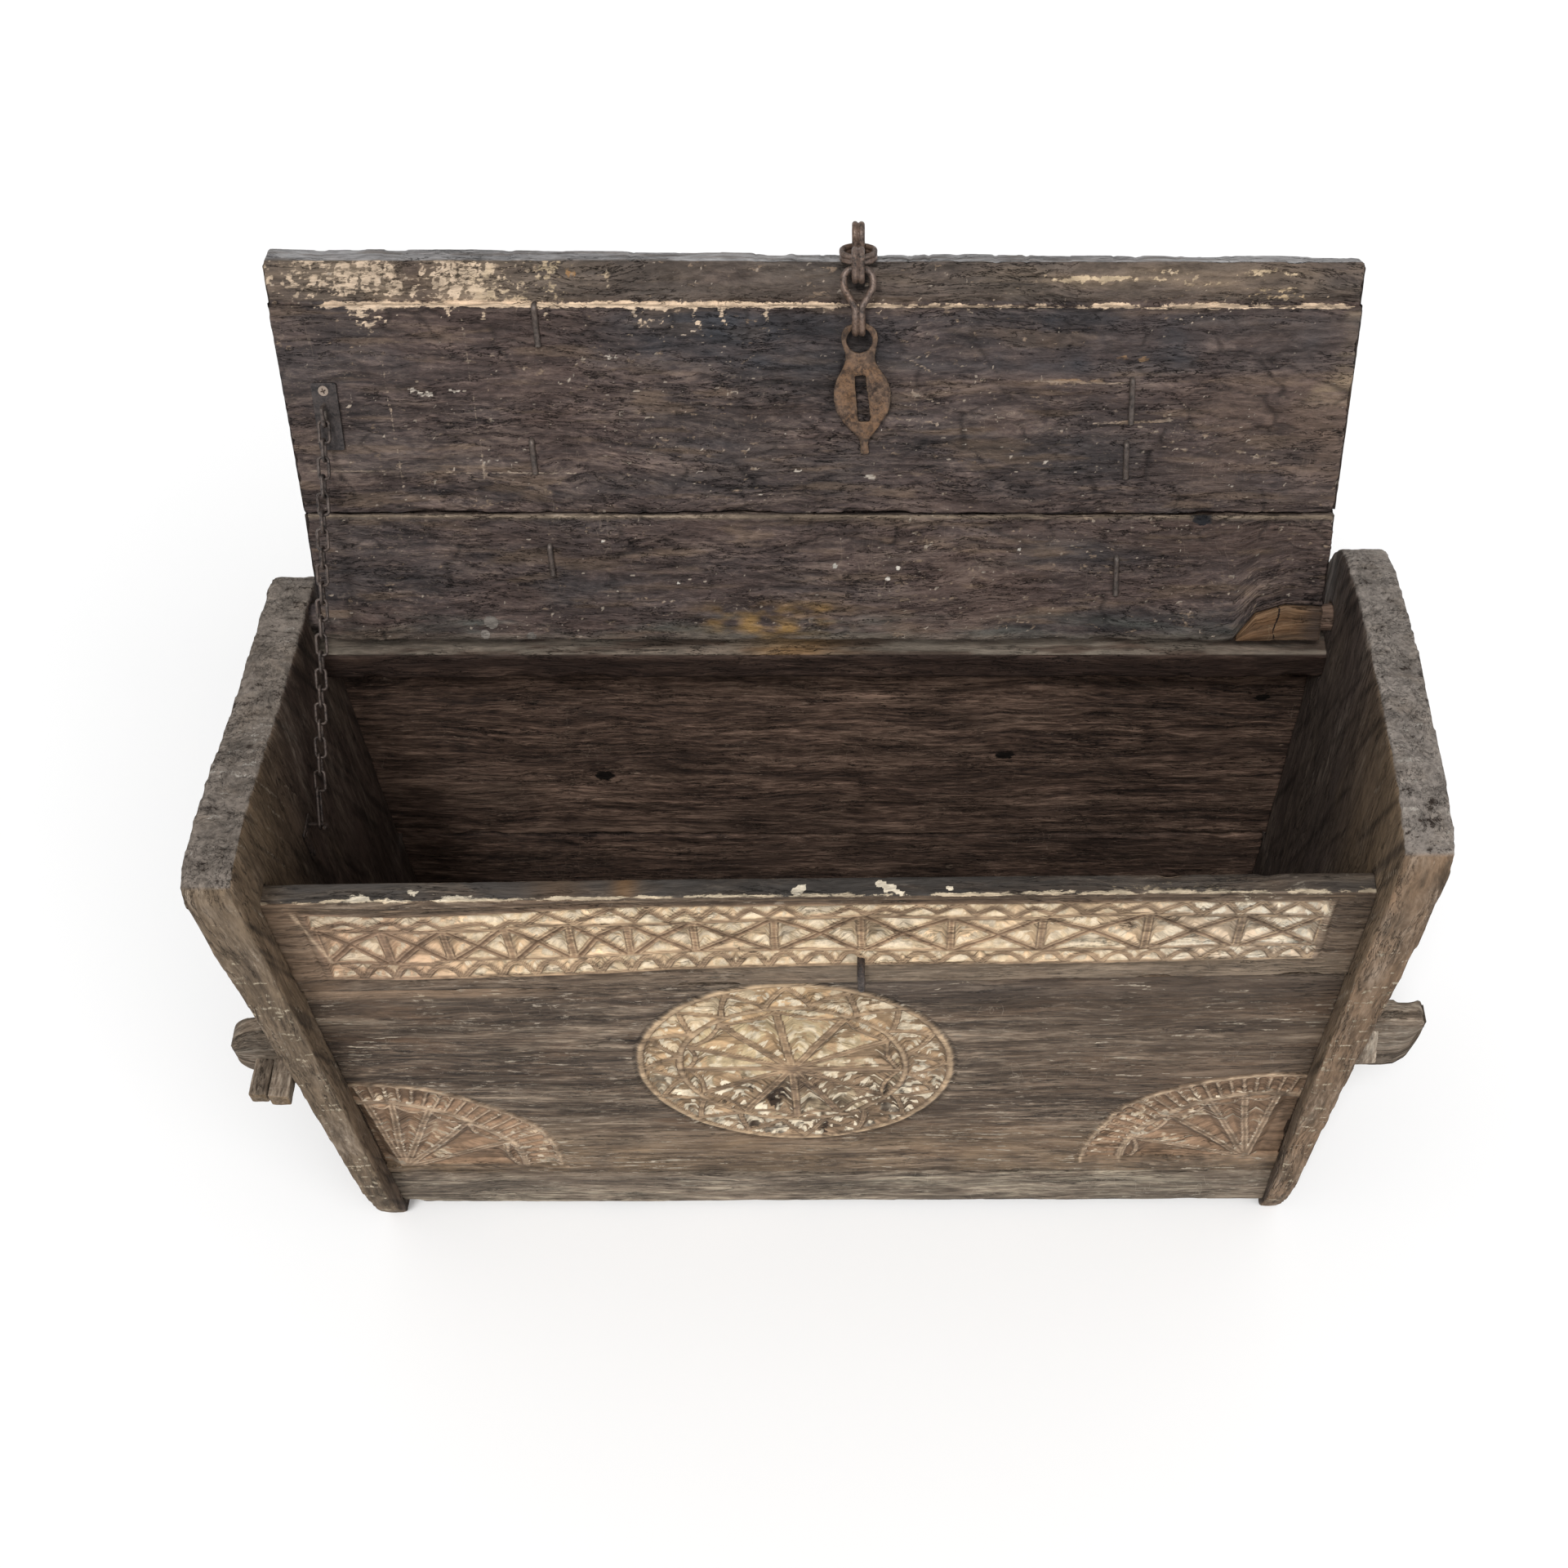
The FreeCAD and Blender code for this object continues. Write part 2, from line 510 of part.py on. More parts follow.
shift = V(0, -MID_Y, FLOOR_GAP)
total = FreeCAD.BoundBox()
for name, shape in made.items():
    s = shape.copy()
    s.translate(shift)
    if not s.isValid() or s.Volume <= 0 or not s.Solids:
        print("CHECK", name, s.isValid(), s.Volume, len(s.Solids))
    total.add(s.BoundBox)
    s.exportStep("parts/" + name + ".step")
print("bounding box", [round(v, 2) for v in (total.XMin, total.XMax, total.YMin, total.YMax, total.ZMin, total.ZMax)])
for name, p in (("ring back", ring_back), ("ring front", ring_front), ("teardrop top", lid(HASP_X, *D_TOP)),
                ("hasp bar", HO), ("stay P1", P1), ("stay P2", P2), ("stay bend", P1 + D1 * L1),
                ("stay open end", P1 + D1 * (L1 + BEND))):
    q = p + shift
    print(name, [round(v, 3) for v in (q.x, q.y, q.z)])
print("pitch", round(PITCH, 3), "T", round(T, 2), "L1", round(L1, 2), "bend", round(BEND, 2), "L2", round(L2, 2),
      "solids", {k: len(v.Solids) for k, v in made.items() if len(v.Solids) != 1})
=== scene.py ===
import math

import bpy
import numpy as np
from mathutils import Matrix, Vector


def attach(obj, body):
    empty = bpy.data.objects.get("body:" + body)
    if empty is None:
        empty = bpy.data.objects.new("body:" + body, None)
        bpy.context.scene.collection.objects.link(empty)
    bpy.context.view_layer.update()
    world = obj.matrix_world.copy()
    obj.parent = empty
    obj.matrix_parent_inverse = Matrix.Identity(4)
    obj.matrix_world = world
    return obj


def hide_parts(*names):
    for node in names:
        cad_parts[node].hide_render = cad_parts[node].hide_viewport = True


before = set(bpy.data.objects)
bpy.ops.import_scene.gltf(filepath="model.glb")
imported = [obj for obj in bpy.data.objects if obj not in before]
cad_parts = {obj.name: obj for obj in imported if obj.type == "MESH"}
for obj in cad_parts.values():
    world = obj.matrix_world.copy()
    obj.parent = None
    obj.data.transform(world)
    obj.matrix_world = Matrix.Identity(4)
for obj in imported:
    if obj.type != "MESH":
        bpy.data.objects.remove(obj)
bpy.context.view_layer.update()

# ------------------------------------------------------------------ layout
# Shapes are laid out in millimetres with y = 0 on the front boards' face and
# z = 0 on the underside of the bottom rail, as the construction is, and W()
# brings them to the frame.
MID_Y, GAP = 237.2, 12.0
HALF, HOUSE, BOARD_T = 500.0, 10.0, 30.0
HY, HZ = 327.0, 652.0
S, C = math.sin(math.radians(27.0)), math.cos(math.radians(27.0))
RABBET, LID_JOINT, LID_FRONT, LID_BACK = 303.0, 109.5, 338.0, -20.0


def W(p):
    return (np.asarray(p, float) + np.array([0.0, -MID_Y, GAP])) / 1000.0


def lid_place(p):
    """(x, a, b) on the lid to layout millimetres."""
    x, a, b = p[..., 0], p[..., 1], p[..., 2]
    return np.stack([x, HY + a * S - b * C, HZ + a * C + b * S], -1)


# ------------------------------------------------------------------ noise
def _hash(ix, iy, iz, seed):
    n = (ix * 374761393 + iy * 668265263 + iz * 1442695041 + seed * 974634777) & 0xFFFFFFFF
    n = ((n ^ (n >> 13)) * 1274126177) & 0xFFFFFFFF
    n = ((n ^ (n >> 15)) * 2246822519) & 0xFFFFFFFF
    return ((n ^ (n >> 16)) & 0xFFFF) / 32767.5 - 1.0


def vnoise(p, seed):
    i = np.floor(p).astype(np.int64)
    f = p - i
    f = f * f * (3 - 2 * f)
    out = 0.0
    for dx in (0, 1):
        for dy in (0, 1):
            for dz in (0, 1):
                w = ((f[..., 0] if dx else 1 - f[..., 0]) * (f[..., 1] if dy else 1 - f[..., 1])
                     * (f[..., 2] if dz else 1 - f[..., 2]))
                out = out + w * _hash(i[..., 0] + dx, i[..., 1] + dy, i[..., 2] + dz, seed)
    return out


def fbm(p, octaves, seed, gain=0.5):
    total, amp, norm = 0.0, 1.0, 0.0
    q = np.asarray(p, float)
    for k in range(octaves):
        total = total + amp * vnoise(q, seed + 17 * k)
        norm += amp
        amp *= gain
        q = q * 2.03 + 11.7
    return total / norm


def cells(p, seed):
    """Distance to the nearest and second nearest scattered point, and a number for the nearest."""
    i = np.floor(p).astype(np.int64)
    best = np.full(p.shape[:-1], 9.0)
    second = np.full(p.shape[:-1], 9.0)
    tag = np.zeros(p.shape[:-1])
    zero = np.zeros_like(i[..., 0])
    for dx in (-1, 0, 1):
        for dy in (-1, 0, 1):
            cx, cy = i[..., 0] + dx, i[..., 1] + dy
            px = cx + 0.5 + 0.45 * _hash(cx, cy, zero, seed)
            py = cy + 0.5 + 0.45 * _hash(cx, cy, zero + 1, seed)
            d = np.hypot(p[..., 0] - px, p[..., 1] - py)
            t = _hash(cx, cy, zero + 2, seed)
            nearer = d < best
            second = np.where(nearer, best, np.minimum(second, d))
            tag = np.where(nearer, t, tag)
            best = np.where(nearer, d, best)
    return best, second, tag


def step(a, b, v):
    t = np.clip((v - a) / (b - a), 0, 1)
    return t * t * (3 - 2 * t)


def v3(a, b, c):
    a, b, c = np.broadcast_arrays(a, b, c)
    return np.stack([a, b, c], -1)


# ------------------------------------------------------------------ meshes
def make_mesh(name, verts, quads=None, tris=None, ngons=(), gc=None, ov=None, dirt=None, mat=None, smooth=True, tn=None):
    me = bpy.data.meshes.new(name)
    quads = np.zeros((0, 4), np.int64) if quads is None else np.asarray(quads)
    tris = np.zeros((0, 3), np.int64) if tris is None else np.asarray(tris)
    ngons = [np.asarray(n) for n in ngons]
    n_loops = quads.size + tris.size + sum(len(n) for n in ngons)
    n_faces = len(quads) + len(tris) + len(ngons)
    me.vertices.add(len(verts))
    me.vertices.foreach_set("co", np.asarray(verts, np.float32).ravel())
    me.loops.add(n_loops)
    me.loops.foreach_set("vertex_index", np.concatenate([quads.ravel(), tris.ravel()] + ngons).astype(np.int32))
    me.polygons.add(n_faces)
    totals = np.concatenate([np.full(len(quads), 4), np.full(len(tris), 3), np.array([len(n) for n in ngons])])
    starts = np.concatenate([[0], np.cumsum(totals)[:-1]])
    me.polygons.foreach_set("loop_start", starts.astype(np.int32))
    me.polygons.foreach_set("use_smooth", np.full(n_faces, smooth))
    me.update(calc_edges=True)
    me.validate()
    put_attributes(me, gc, ov, dirt, tn)
    ob = bpy.data.objects.new(name, me)
    bpy.context.scene.collection.objects.link(ob)
    if mat:
        me.materials.append(mat)
    return ob


def put_attributes(me, gc=None, ov=None, dirt=None, tn=None):
    n = len(me.vertices)
    if gc is not None:
        a = me.attributes.new("gc", "FLOAT_VECTOR", "POINT")
        a.data.foreach_set("vector", np.asarray(gc, np.float32).reshape(n, 3).ravel())
    for key, v in (("ov", ov), ("tn", np.zeros((n, 4)) if tn is None else tn)):
        if v is not None:
            a = me.color_attributes.new(key, "FLOAT_COLOR", "POINT")
            a.data.foreach_set("color", np.asarray(v, np.float32).reshape(n, 4).ravel())
    if dirt is not None:
        a = me.attributes.new("dirt", "FLOAT", "POINT")
        a.data.foreach_set("value", np.asarray(dirt, np.float32).ravel())


def loop2(points, radii, steps):
    """A closed outline in 2D with rounded corners: positions and distance to the nearest corner."""
    n = len(points)
    pts = [np.array(p, float) for p in points]
    arcs = []
    for i in range(n):
        p, a, b = pts[i], pts[i - 1], pts[(i + 1) % n]
        d1, d2 = (a - p) / np.linalg.norm(a - p), (b - p) / np.linalg.norm(b - p)
        ang = math.acos(max(-1, min(1, float(d1 @ d2))))
        t = radii[i] / math.tan(ang / 2)
        start, end = p + d1 * t, p + d2 * t
        k = 5 if radii[i] > 2.5 else 4
        us = np.linspace(0, 1, k)[:, None]
        # a quadratic through the corner is close enough to an arc
        arcs.append((1 - us) ** 2 * start + 2 * us * (1 - us) * p + us ** 2 * end)
    out = []
    for i in range(n):
        j = (i + 1) % n
        out.append(arcs[i])
        start, end = arcs[i][-1], arcs[j][0]
        length = np.linalg.norm(end - start)
        k = max(1, int(round(length / steps[i])))
        us = (np.arange(1, k) / k)[:, None]
        out.append(start + us * (end - start))
    loop = np.concatenate(out)
    corner = np.array(pts)
    ed = np.min(np.linalg.norm(loop[:, None, :] - corner[None], axis=2), axis=1)
    return loop, ed


def grid_normals(P):
    du = np.gradient(P, axis=0)
    dv = np.roll(P, -1, axis=1) - np.roll(P, 1, axis=1)
    n = np.cross(dv, du)
    n /= np.linalg.norm(n, axis=-1, keepdims=True) + 1e-12
    c = P.mean(1, keepdims=True)
    if np.sum(n * (P - c)) < 0:
        n = -n
    return n


def sweep(name, xs, loop, ed, shape=None, place=None, disp=None, paint=None, caps=True, seed=1, grain=None,
          mat=None, end_round=2.0):
    """A board along x with a closed section (s, t): shaped, worn by disp() along its normals and placed."""
    N, M = len(xs), len(loop)
    P = np.zeros((N, M, 3))
    P[..., 0] = xs[:, None]
    P[..., 1:] = loop[None]
    L = P.copy()                                     # where each point is on the plain board
    if end_round:
        # the ends are a little rounded
        mid = (loop.min(0) + loop.max(0)) / 2
        half = (loop.max(0) - loop.min(0)) / 2
        e = np.minimum(xs - xs[0], xs[-1] - xs)
        k = np.sqrt(np.clip(1 - (1 - np.clip(e / end_round, 0, 1)) ** 2, 0, 1)) if end_round else np.ones(N)
        shrink = end_round * (1 - k)
        for ax in (0, 1):
            off = loop[:, ax] - mid[ax]
            P[..., 1 + ax] = mid[ax] + off[None] * (1 - shrink[:, None] / max(half[ax], 1e-6))
    if shape is not None:
        P = shape(P)
    ends = np.minimum(xs - xs[0], xs[-1] - xs)[:, None] + np.zeros((1, M))
    edge = np.minimum(ed[None] + np.zeros((N, 1)), ends)
    info = {"L": L, "edge": edge, "P": P, "ends": ends}
    n = grid_normals(P)
    info["n"] = n
    dirt = np.zeros((N, M))
    if disp is not None:
        r = disp(info)
        if isinstance(r, tuple):
            d, dirt = r
        else:
            d = r
        P = P + n * d[..., None]
    ov = paint(info) if paint is not None else np.zeros((N, M, 4))
    tn = info.get("tint", np.zeros((N, M, 4)))
    gcs = L.copy()
    gcs[..., 1] += 14 * fbm(v3(L[..., 0] / 420, L[..., 1] / 160, seed), 2, seed + 5)
    gcs = gcs / 1000 + np.array([seed * 1.37, seed * 0.73, seed * 0.31])
    if grain is not None:
        gcs = grain(L, gcs)
    i = np.arange(N - 1)[:, None] * M
    j = np.arange(M)[None]
    a, b = i + j, i + (j + 1) % M
    quads = np.stack([a, b, b + M, a + M], -1).reshape(-1, 4)
    V_, G_, O_, D_ = [P.reshape(-1, 3)], [gcs.reshape(-1, 3)], [ov.reshape(-1, 4)], [dirt.ravel()]
    T_ = [tn.reshape(-1, 4)]
    Q, ngons = [quads], []
    count = N * M
    if caps:
        mid = (loop.min(0) + loop.max(0)) / 2
        half = (loop.max(0) - loop.min(0)) / 2
        m = min(half)
        for end, idx in ((0, 0), (1, N - 1)):
            ring0 = P[idx]
            core = loop.copy()
            for ax in (0, 1):
                lim = max(half[ax] - m, 0.0)
                core[:, ax] = np.clip(loop[:, ax], mid[ax] - lim, mid[ax] + lim)
            rel = (core - loop)
            prev = np.arange(idx * M, idx * M + M)
            # follow the end's own shape: move each rim point towards the core by the same offset
            for t in (0.25, 0.5, 0.75, 0.93):
                ring = ring0.copy()
                if shape is not None:
                    flat = np.zeros((1, M, 3))
                    flat[..., 0] = xs[idx]
                    flat[0, :, 1:] = loop + rel * t
                    target = shape(flat)[0]
                else:
                    target = np.zeros((M, 3))
                    target[:, 0] = xs[idx]
                    target[:, 1:] = loop + rel * t
                bump = 0.8 * fbm(v3(target[:, 1] / 7.0, target[:, 2] / 7.0, seed + idx), 3, seed + 31)
                # the middle keeps the ring's mean offset, so that the end stays flat
                ring = target.copy()
                ring[:, 0] += (bump if t < 0.9 else bump * 0.6) * (1 if end == 0 else -1) * -0.5
                ids = np.arange(count, count + M)
                count += M
                V_.append(ring)
                G_.append(np.stack([ring[:, 0] / 1000 * 0.2 + seed, ring[:, 1] / 1000 * 1.0 + seed, ring[:, 2] / 1000], -1))
                O_.append(ov[idx])
                T_.append(tn[idx])
                D_.append(np.full(M, 0.25))
                nxt = np.roll(np.arange(M), -1)
                q = np.stack([prev, ids, ids[nxt], prev[nxt]], -1)
                if end == 0:
                    Q.append(q[:, ::-1])
                else:
                    Q.append(q)
                prev = ids
            ngons.append(prev[::-1] if end == 1 else prev)
    verts = np.concatenate(V_)
    verts = place(verts) if place else verts
    ob = make_mesh(name, W(verts), np.concatenate(Q), None, ngons, np.concatenate(G_), np.concatenate(O_),
                   np.concatenate(D_), mat, tn=np.concatenate(T_))
    fix_winding(ob)
    return ob


def fix_winding(ob):
    """Faces point outwards: flip them all if the signed volume is negative."""
    me = ob.data
    me.calc_loop_triangles()
    n = len(me.loop_triangles)
    t = np.empty(n * 3, np.int32)
    me.loop_triangles.foreach_get("vertices", t)
    co = np.empty(len(me.vertices) * 3, np.float32)
    me.vertices.foreach_get("co", co)
    co = co.reshape(-1, 3).astype(float)
    co -= co.mean(0)
    a, b, c = co[t[0::3]], co[t[1::3]], co[t[2::3]]
    if np.einsum("ij,ij->i", a, np.cross(b, c)).sum() < 0:
        me.flip_normals()


def read_mesh(ob):
    me = ob.data
    co = np.empty(len(me.vertices) * 3, np.float32)
    me.vertices.foreach_get("co", co)
    nr = np.empty(len(me.vertices) * 3, np.float32)
    me.vertex_normals.foreach_get("vector", nr)
    return co.reshape(-1, 3).astype(float), nr.reshape(-1, 3).astype(float)


def neighbours_mean(me, co, times, k=0.5):
    e = np.empty(len(me.edges) * 2, np.int32)
    me.edges.foreach_get("vertices", e)
    a, b = e[0::2], e[1::2]
    n = len(co)
    deg = np.bincount(a, minlength=n) + np.bincount(b, minlength=n)
    deg = np.maximum(deg, 1)[:, None]
    for _ in range(times):
        s = np.zeros_like(co)
        for ax in range(3):
            s[:, ax] = np.bincount(a, co[b, ax], n) + np.bincount(b, co[a, ax], n)
        co = co + k * (s / deg - co)
    return co


def remade(name, nodes, voxel, mat, body, disp=None, paint=None, grain_axis="z", seed=1, smooth=2, replace=True):
    """A node's shape again, as an even mesh that can be worn and hammered."""
    bits = []
    for nd in nodes:
        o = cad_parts[nd].copy()
        o.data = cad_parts[nd].data.copy()
        bpy.context.scene.collection.objects.link(o)
        bits.append(o)
    import bmesh
    bm = bmesh.new()
    for o in bits:
        bm.from_mesh(o.data)
    bmesh.ops.remove_doubles(bm, verts=bm.verts, dist=2e-6)
    me = bpy.data.meshes.new(name)
    bm.to_mesh(me)
    bm.free()
    for o in bits:
        d = o.data
        bpy.data.objects.remove(o)
        bpy.data.meshes.remove(d)
    ob = bpy.data.objects.new(name, me)
    bpy.context.scene.collection.objects.link(ob)
    mod = ob.modifiers.new("even", "REMESH")
    mod.mode = "VOXEL"
    mod.voxel_size = voxel / 1000
    dg = bpy.context.evaluated_depsgraph_get()
    new = bpy.data.meshes.new_from_object(ob.evaluated_get(dg))
    ob.modifiers.clear()
    ob.data = new
    new.name = name
    for m in list(new.materials):
        new.materials.pop(index=0)
    new.materials.append(mat)
    new.polygons.foreach_set("use_smooth", np.ones(len(new.polygons), bool))
    co, nr = read_mesh(ob)
    co = neighbours_mean(new, co, smooth)
    far = neighbours_mean(new, co, 8)
    edge = np.einsum("ij,ij->i", co - far, nr) * 1000        # mm proud of its smoothed self: worn arrises
    L = co * 1000 - np.array([0.0, -MID_Y, GAP])
    info = {"L": L, "n": nr, "edge": edge}
    # darker where the surface is hollow
    dirt = np.clip(-edge * 0.6, 0, 1)
    if disp is not None:
        r = disp(info)
        if isinstance(r, tuple):
            d, dirt = r
        else:
            d = r
        co = co + nr * (d / 1000)[:, None]
    new.vertices.foreach_set("co", co.astype(np.float32).ravel())
    ov = paint(info) if paint is not None else np.zeros((len(co), 4))
    x, y, z = L[:, 0], L[:, 1], L[:, 2]
    if grain_axis == "z":
        g = np.stack([z, y + 16 * fbm(v3(z / 300, y / 120, seed), 2, seed), x], -1)
    elif grain_axis == "y":
        g = np.stack([y, x, z], -1)
    elif grain_axis == "a":
        g = np.stack([(y - HY) * S + (z - HZ) * C, x, -(y - HY) * C + (z - HZ) * S], -1)
    else:
        g = np.stack([x, y, z], -1)
    g = g / 1000 + np.array([seed * 1.37, seed * 0.73, seed * 0.31])
    put_attributes(new, g, ov, dirt, info.get("tint"))
    new.update()
    if replace:
        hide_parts(*nodes)
    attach(ob, body)
    return ob


# ------------------------------------------------------------------ materials
class Net:
    """Short hands for building a node tree."""

    def __init__(self, name):
        self.mat = bpy.data.materials.new(name)
        self.mat.use_nodes = True
        self.t = self.mat.node_tree
        self.t.nodes.clear()
        self.out = self.t.nodes.new("ShaderNodeOutputMaterial")
        self.bsdf = self.t.nodes.new("ShaderNodeBsdfPrincipled")
        self.t.links.new(self.bsdf.outputs[0], self.out.inputs[0])

    def _in(self, node, i, v):
        if v is None:
            return
        if isinstance(v, bpy.types.NodeSocket):
            self.t.links.new(v, node.inputs[i])
        else:
            node.inputs[i].default_value = v

    def attr(self, name, out="Vector"):
        n = self.t.nodes.new("ShaderNodeAttribute")
        n.attribute_name = name
        return n.outputs[out]

    def objco(self):
        return self.t.nodes.new("ShaderNodeTexCoord").outputs["Object"]

    def mapping(self, vec, scale=(1, 1, 1), loc=(0, 0, 0), rot=(0, 0, 0)):
        n = self.t.nodes.new("ShaderNodeMapping")
        self._in(n, 0, vec)
        n.inputs["Scale"].default_value = scale
        n.inputs["Location"].default_value = loc
        n.inputs["Rotation"].default_value = rot
        return n.outputs[0]

    def noise(self, vec, scale=1.0, detail=3.0, rough=0.55, dist=0.0):
        n = self.t.nodes.new("ShaderNodeTexNoise")
        self._in(n, "Vector", vec)
        n.inputs["Scale"].default_value = scale
        n.inputs["Detail"].default_value = detail
        n.inputs["Roughness"].default_value = rough
        n.inputs["Distortion"].default_value = dist
        return n.outputs["Fac"]

    def voronoi(self, vec, scale=1.0, feature="F1", out="Distance"):
        n = self.t.nodes.new("ShaderNodeTexVoronoi")
        n.feature = feature
        self._in(n, "Vector", vec)
        n.inputs["Scale"].default_value = scale
        return n.outputs[out]

    def ramp(self, fac, stops, mode="LINEAR"):
        n = self.t.nodes.new("ShaderNodeValToRGB")
        self._in(n, 0, fac)
        r = n.color_ramp
        r.interpolation = mode
        while len(r.elements) > len(stops):
            r.elements.remove(r.elements[-1])
        while len(r.elements) < len(stops):
            r.elements.new(0.5)
        for e, (pos, col) in zip(r.elements, stops):
            e.position = pos
            e.color = tuple(col) + (1,) if len(col) == 3 else col
        return n.outputs[0]

    def range(self, v, a, b, c=0.0, d=1.0):
        n = self.t.nodes.new("ShaderNodeMapRange")
        n.interpolation_type = "SMOOTHSTEP"
        self._in(n, 0, v)
        for i, x in enumerate((a, b, c, d)):
            self._in(n, i + 1, x)
        return n.outputs[0]

    def math(self, op, a, b=None, clamp=False):
        n = self.t.nodes.new("ShaderNodeMath")
        n.operation = op
        n.use_clamp = clamp
        self._in(n, 0, a)
        self._in(n, 1, b)
        return n.outputs[0]

    def vmath(self, op, a, b):
        n = self.t.nodes.new("ShaderNodeVectorMath")
        n.operation = op
        self._in(n, 0, a)
        self._in(n, 1, b)
        return n.outputs[0]

    def thin(self, v, width, at=0.5):
        """A thin line where the value v crosses a level."""
        return self.range(self.math("ABSOLUTE", self.math("SUBTRACT", v, at)), 0.0, width, 1.0, 0.0)

    def mix(self, fac, a, b, mode="MIX"):
        n = self.t.nodes.new("ShaderNodeMix")
        n.data_type = "RGBA"
        n.blend_type = mode
        self._in(n, 0, fac)
        for i, v in ((6, a), (7, b)):
            if isinstance(v, (tuple, list)) and len(v) == 3:
                v = tuple(v) + (1,)
            self._in(n, i, v)
        return n.outputs[2]

    def bump(self, height, strength, distance, normal=None):
        n = self.t.nodes.new("ShaderNodeBump")
        n.inputs["Strength"].default_value = strength
        n.inputs["Distance"].default_value = distance
        self._in(n, "Height", height)
        self._in(n, "Normal", normal)
        return n.outputs[0]


def wood(name, dark, mid, light, tint=(0.5, 0.45, 0.4), tint_amount=0.4, scuff=(0.5, 0.45, 0.38), scuff_amount=0.5,
         scratch_amount=0.5, rough=0.7, spec=0.3, contrast=1.0, bump=1.0, warm=None, warm_amount=0.0, crack_amount=0.6,
         short=1.0, fleck=0.60):
    """Old wood: grain along gc.x that wanders, stains, cracks, pale flecks and scratches, dirt and painted shade in
    hollows, then the tint tn, which soaks in, and the overlay ov, which lies on it and chips. short > 1 gives shorter
    grain."""
    n = Net(name)
    raw = n.attr("gc")
    wob = n.t.nodes.new("ShaderNodeTexNoise")
    n._in(wob, "Vector", n.mapping(raw, (5.0, 14, 14)))
    wob.inputs["Scale"].default_value = 1.0
    wob.inputs["Detail"].default_value = 3.0
    gc = n.vmath("ADD", raw, n.vmath("MULTIPLY", n.vmath("SUBTRACT", wob.outputs["Color"], (0.5, 0.5, 0.5)),
                                     (0.0, 0.034, 0.034)))
    bands = n.noise(n.mapping(gc, (1.7 * short, 24, 24), (7, 3, 1)), 1.0, 4.0, 0.6, 0.3)
    streak = n.noise(n.mapping(gc, (7.5 * short, 92, 92)), 1.0, 6.0, 0.68, 0.2)
    fine = n.noise(n.mapping(gc, (34.0 * short, 300, 300), (3, 1, 2)), 1.0, 3.0, 0.7, 0.3)
    broad = n.noise(n.mapping(gc, (4.0, 9.0, 9.0), (5, 8, 2)), 1.0, 5.0, 0.62, 0.6)
    v = n.math("ADD", n.math("ADD", n.math("MULTIPLY", bands, 0.30), n.math("MULTIPLY", streak, 0.36)),
               n.math("MULTIPLY", fine, 0.34))
    h = 0.115 / contrast
    col = n.ramp(v, [(0.5 - h, dark), (0.5, mid), (0.5 + h, light)])
    col = n.mix(n.math("MULTIPLY", n.range(broad, 0.44, 0.66), tint_amount), col, tint)
    if warm is not None:
        w2 = n.noise(n.mapping(gc, (3.2, 13.0, 13.0), (15, 4, 9)), 1.0, 4.0, 0.6, 0.5)
        col = n.mix(n.math("MULTIPLY", n.range(w2, 0.5, 0.66), warm_amount), col, warm)
    # patches that are lighter or darker than their neighbours
    tone = n.noise(n.mapping(gc, (9.0, 32.0, 32.0), (2, 14, 5)), 1.0, 5.0, 0.66, 0.4)
    col = n.mix(1.0, col, n.mix(1.0, (1, 1, 1), n.range(tone, 0.34, 0.66, 0.78, 1.24), "MULTIPLY"), "MULTIPLY")
    hair = n.noise(n.mapping(gc, (4.5 * short, 170, 170), (6, 1, 12)), 1.0, 4.0, 0.62, 0.2)
    col = n.mix(1.0, col, n.mix(1.0, (1, 1, 1), n.range(hair, 0.36, 0.64, 0.70, 1.30), "MULTIPLY"), "MULTIPLY")
    # thin dark cracks along the grain, in places
    crack = n.noise(n.mapping(gc, (7.0 * short, 120, 120), (1, 9, 4)), 1.0, 5.0, 0.66, 0.25)
    here = n.range(n.noise(n.mapping(gc, (9, 30, 30), (2, 2, 2)), 1.0, 3.0, 0.6), 0.42, 0.60)
    lines = n.math("MULTIPLY", n.thin(crack, 0.017), here)
    col = n.mix(n.math("MULTIPLY", lines, crack_amount), col, tuple(0.30 * c for c in dark))
    # pale flecks and thin scratches
    sc = n.noise(n.mapping(gc, (52.0 * short, 260, 260), (4, 2, 8)), 1.0, 4.0, 0.72, 0.3)
    where = n.range(n.noise(n.mapping(gc, (11, 26, 26), (9, 1, 6)), 1.0, 4.0, 0.6), 0.44, 0.60)
    sc = n.math("MULTIPLY", n.range(sc, fleck, fleck + 0.07), where)
    col = n.mix(n.math("MULTIPLY", sc, scuff_amount), col, scuff)
    sl = n.thin(n.noise(n.mapping(gc, (10.0 * short, 150, 150), (14, 2, 18)), 1.0, 4.0, 0.62, 0.2), 0.009)
    sl = n.math("MULTIPLY", sl, n.range(n.noise(n.mapping(gc, (14, 34, 34), (19, 11, 6)), 1.0, 3.0, 0.6), 0.46, 0.60))
    cross = n.thin(n.noise(n.mapping(raw, (46, 12, 12), (4, 22, 8), (0, 0, 0.6)), 1.0, 2.0, 0.5, 0.4), 0.006)
    cross = n.math("MULTIPLY", cross, n.range(n.noise(n.mapping(raw, (9, 12, 12), (1, 31, 6)), 1.0, 3.0, 0.6), 0.52, 0.62))
    sl = n.math("MAXIMUM", sl, n.math("MULTIPLY", cross, 0.7))
    col = n.mix(n.math("MULTIPLY", sl, scratch_amount), col, scuff)
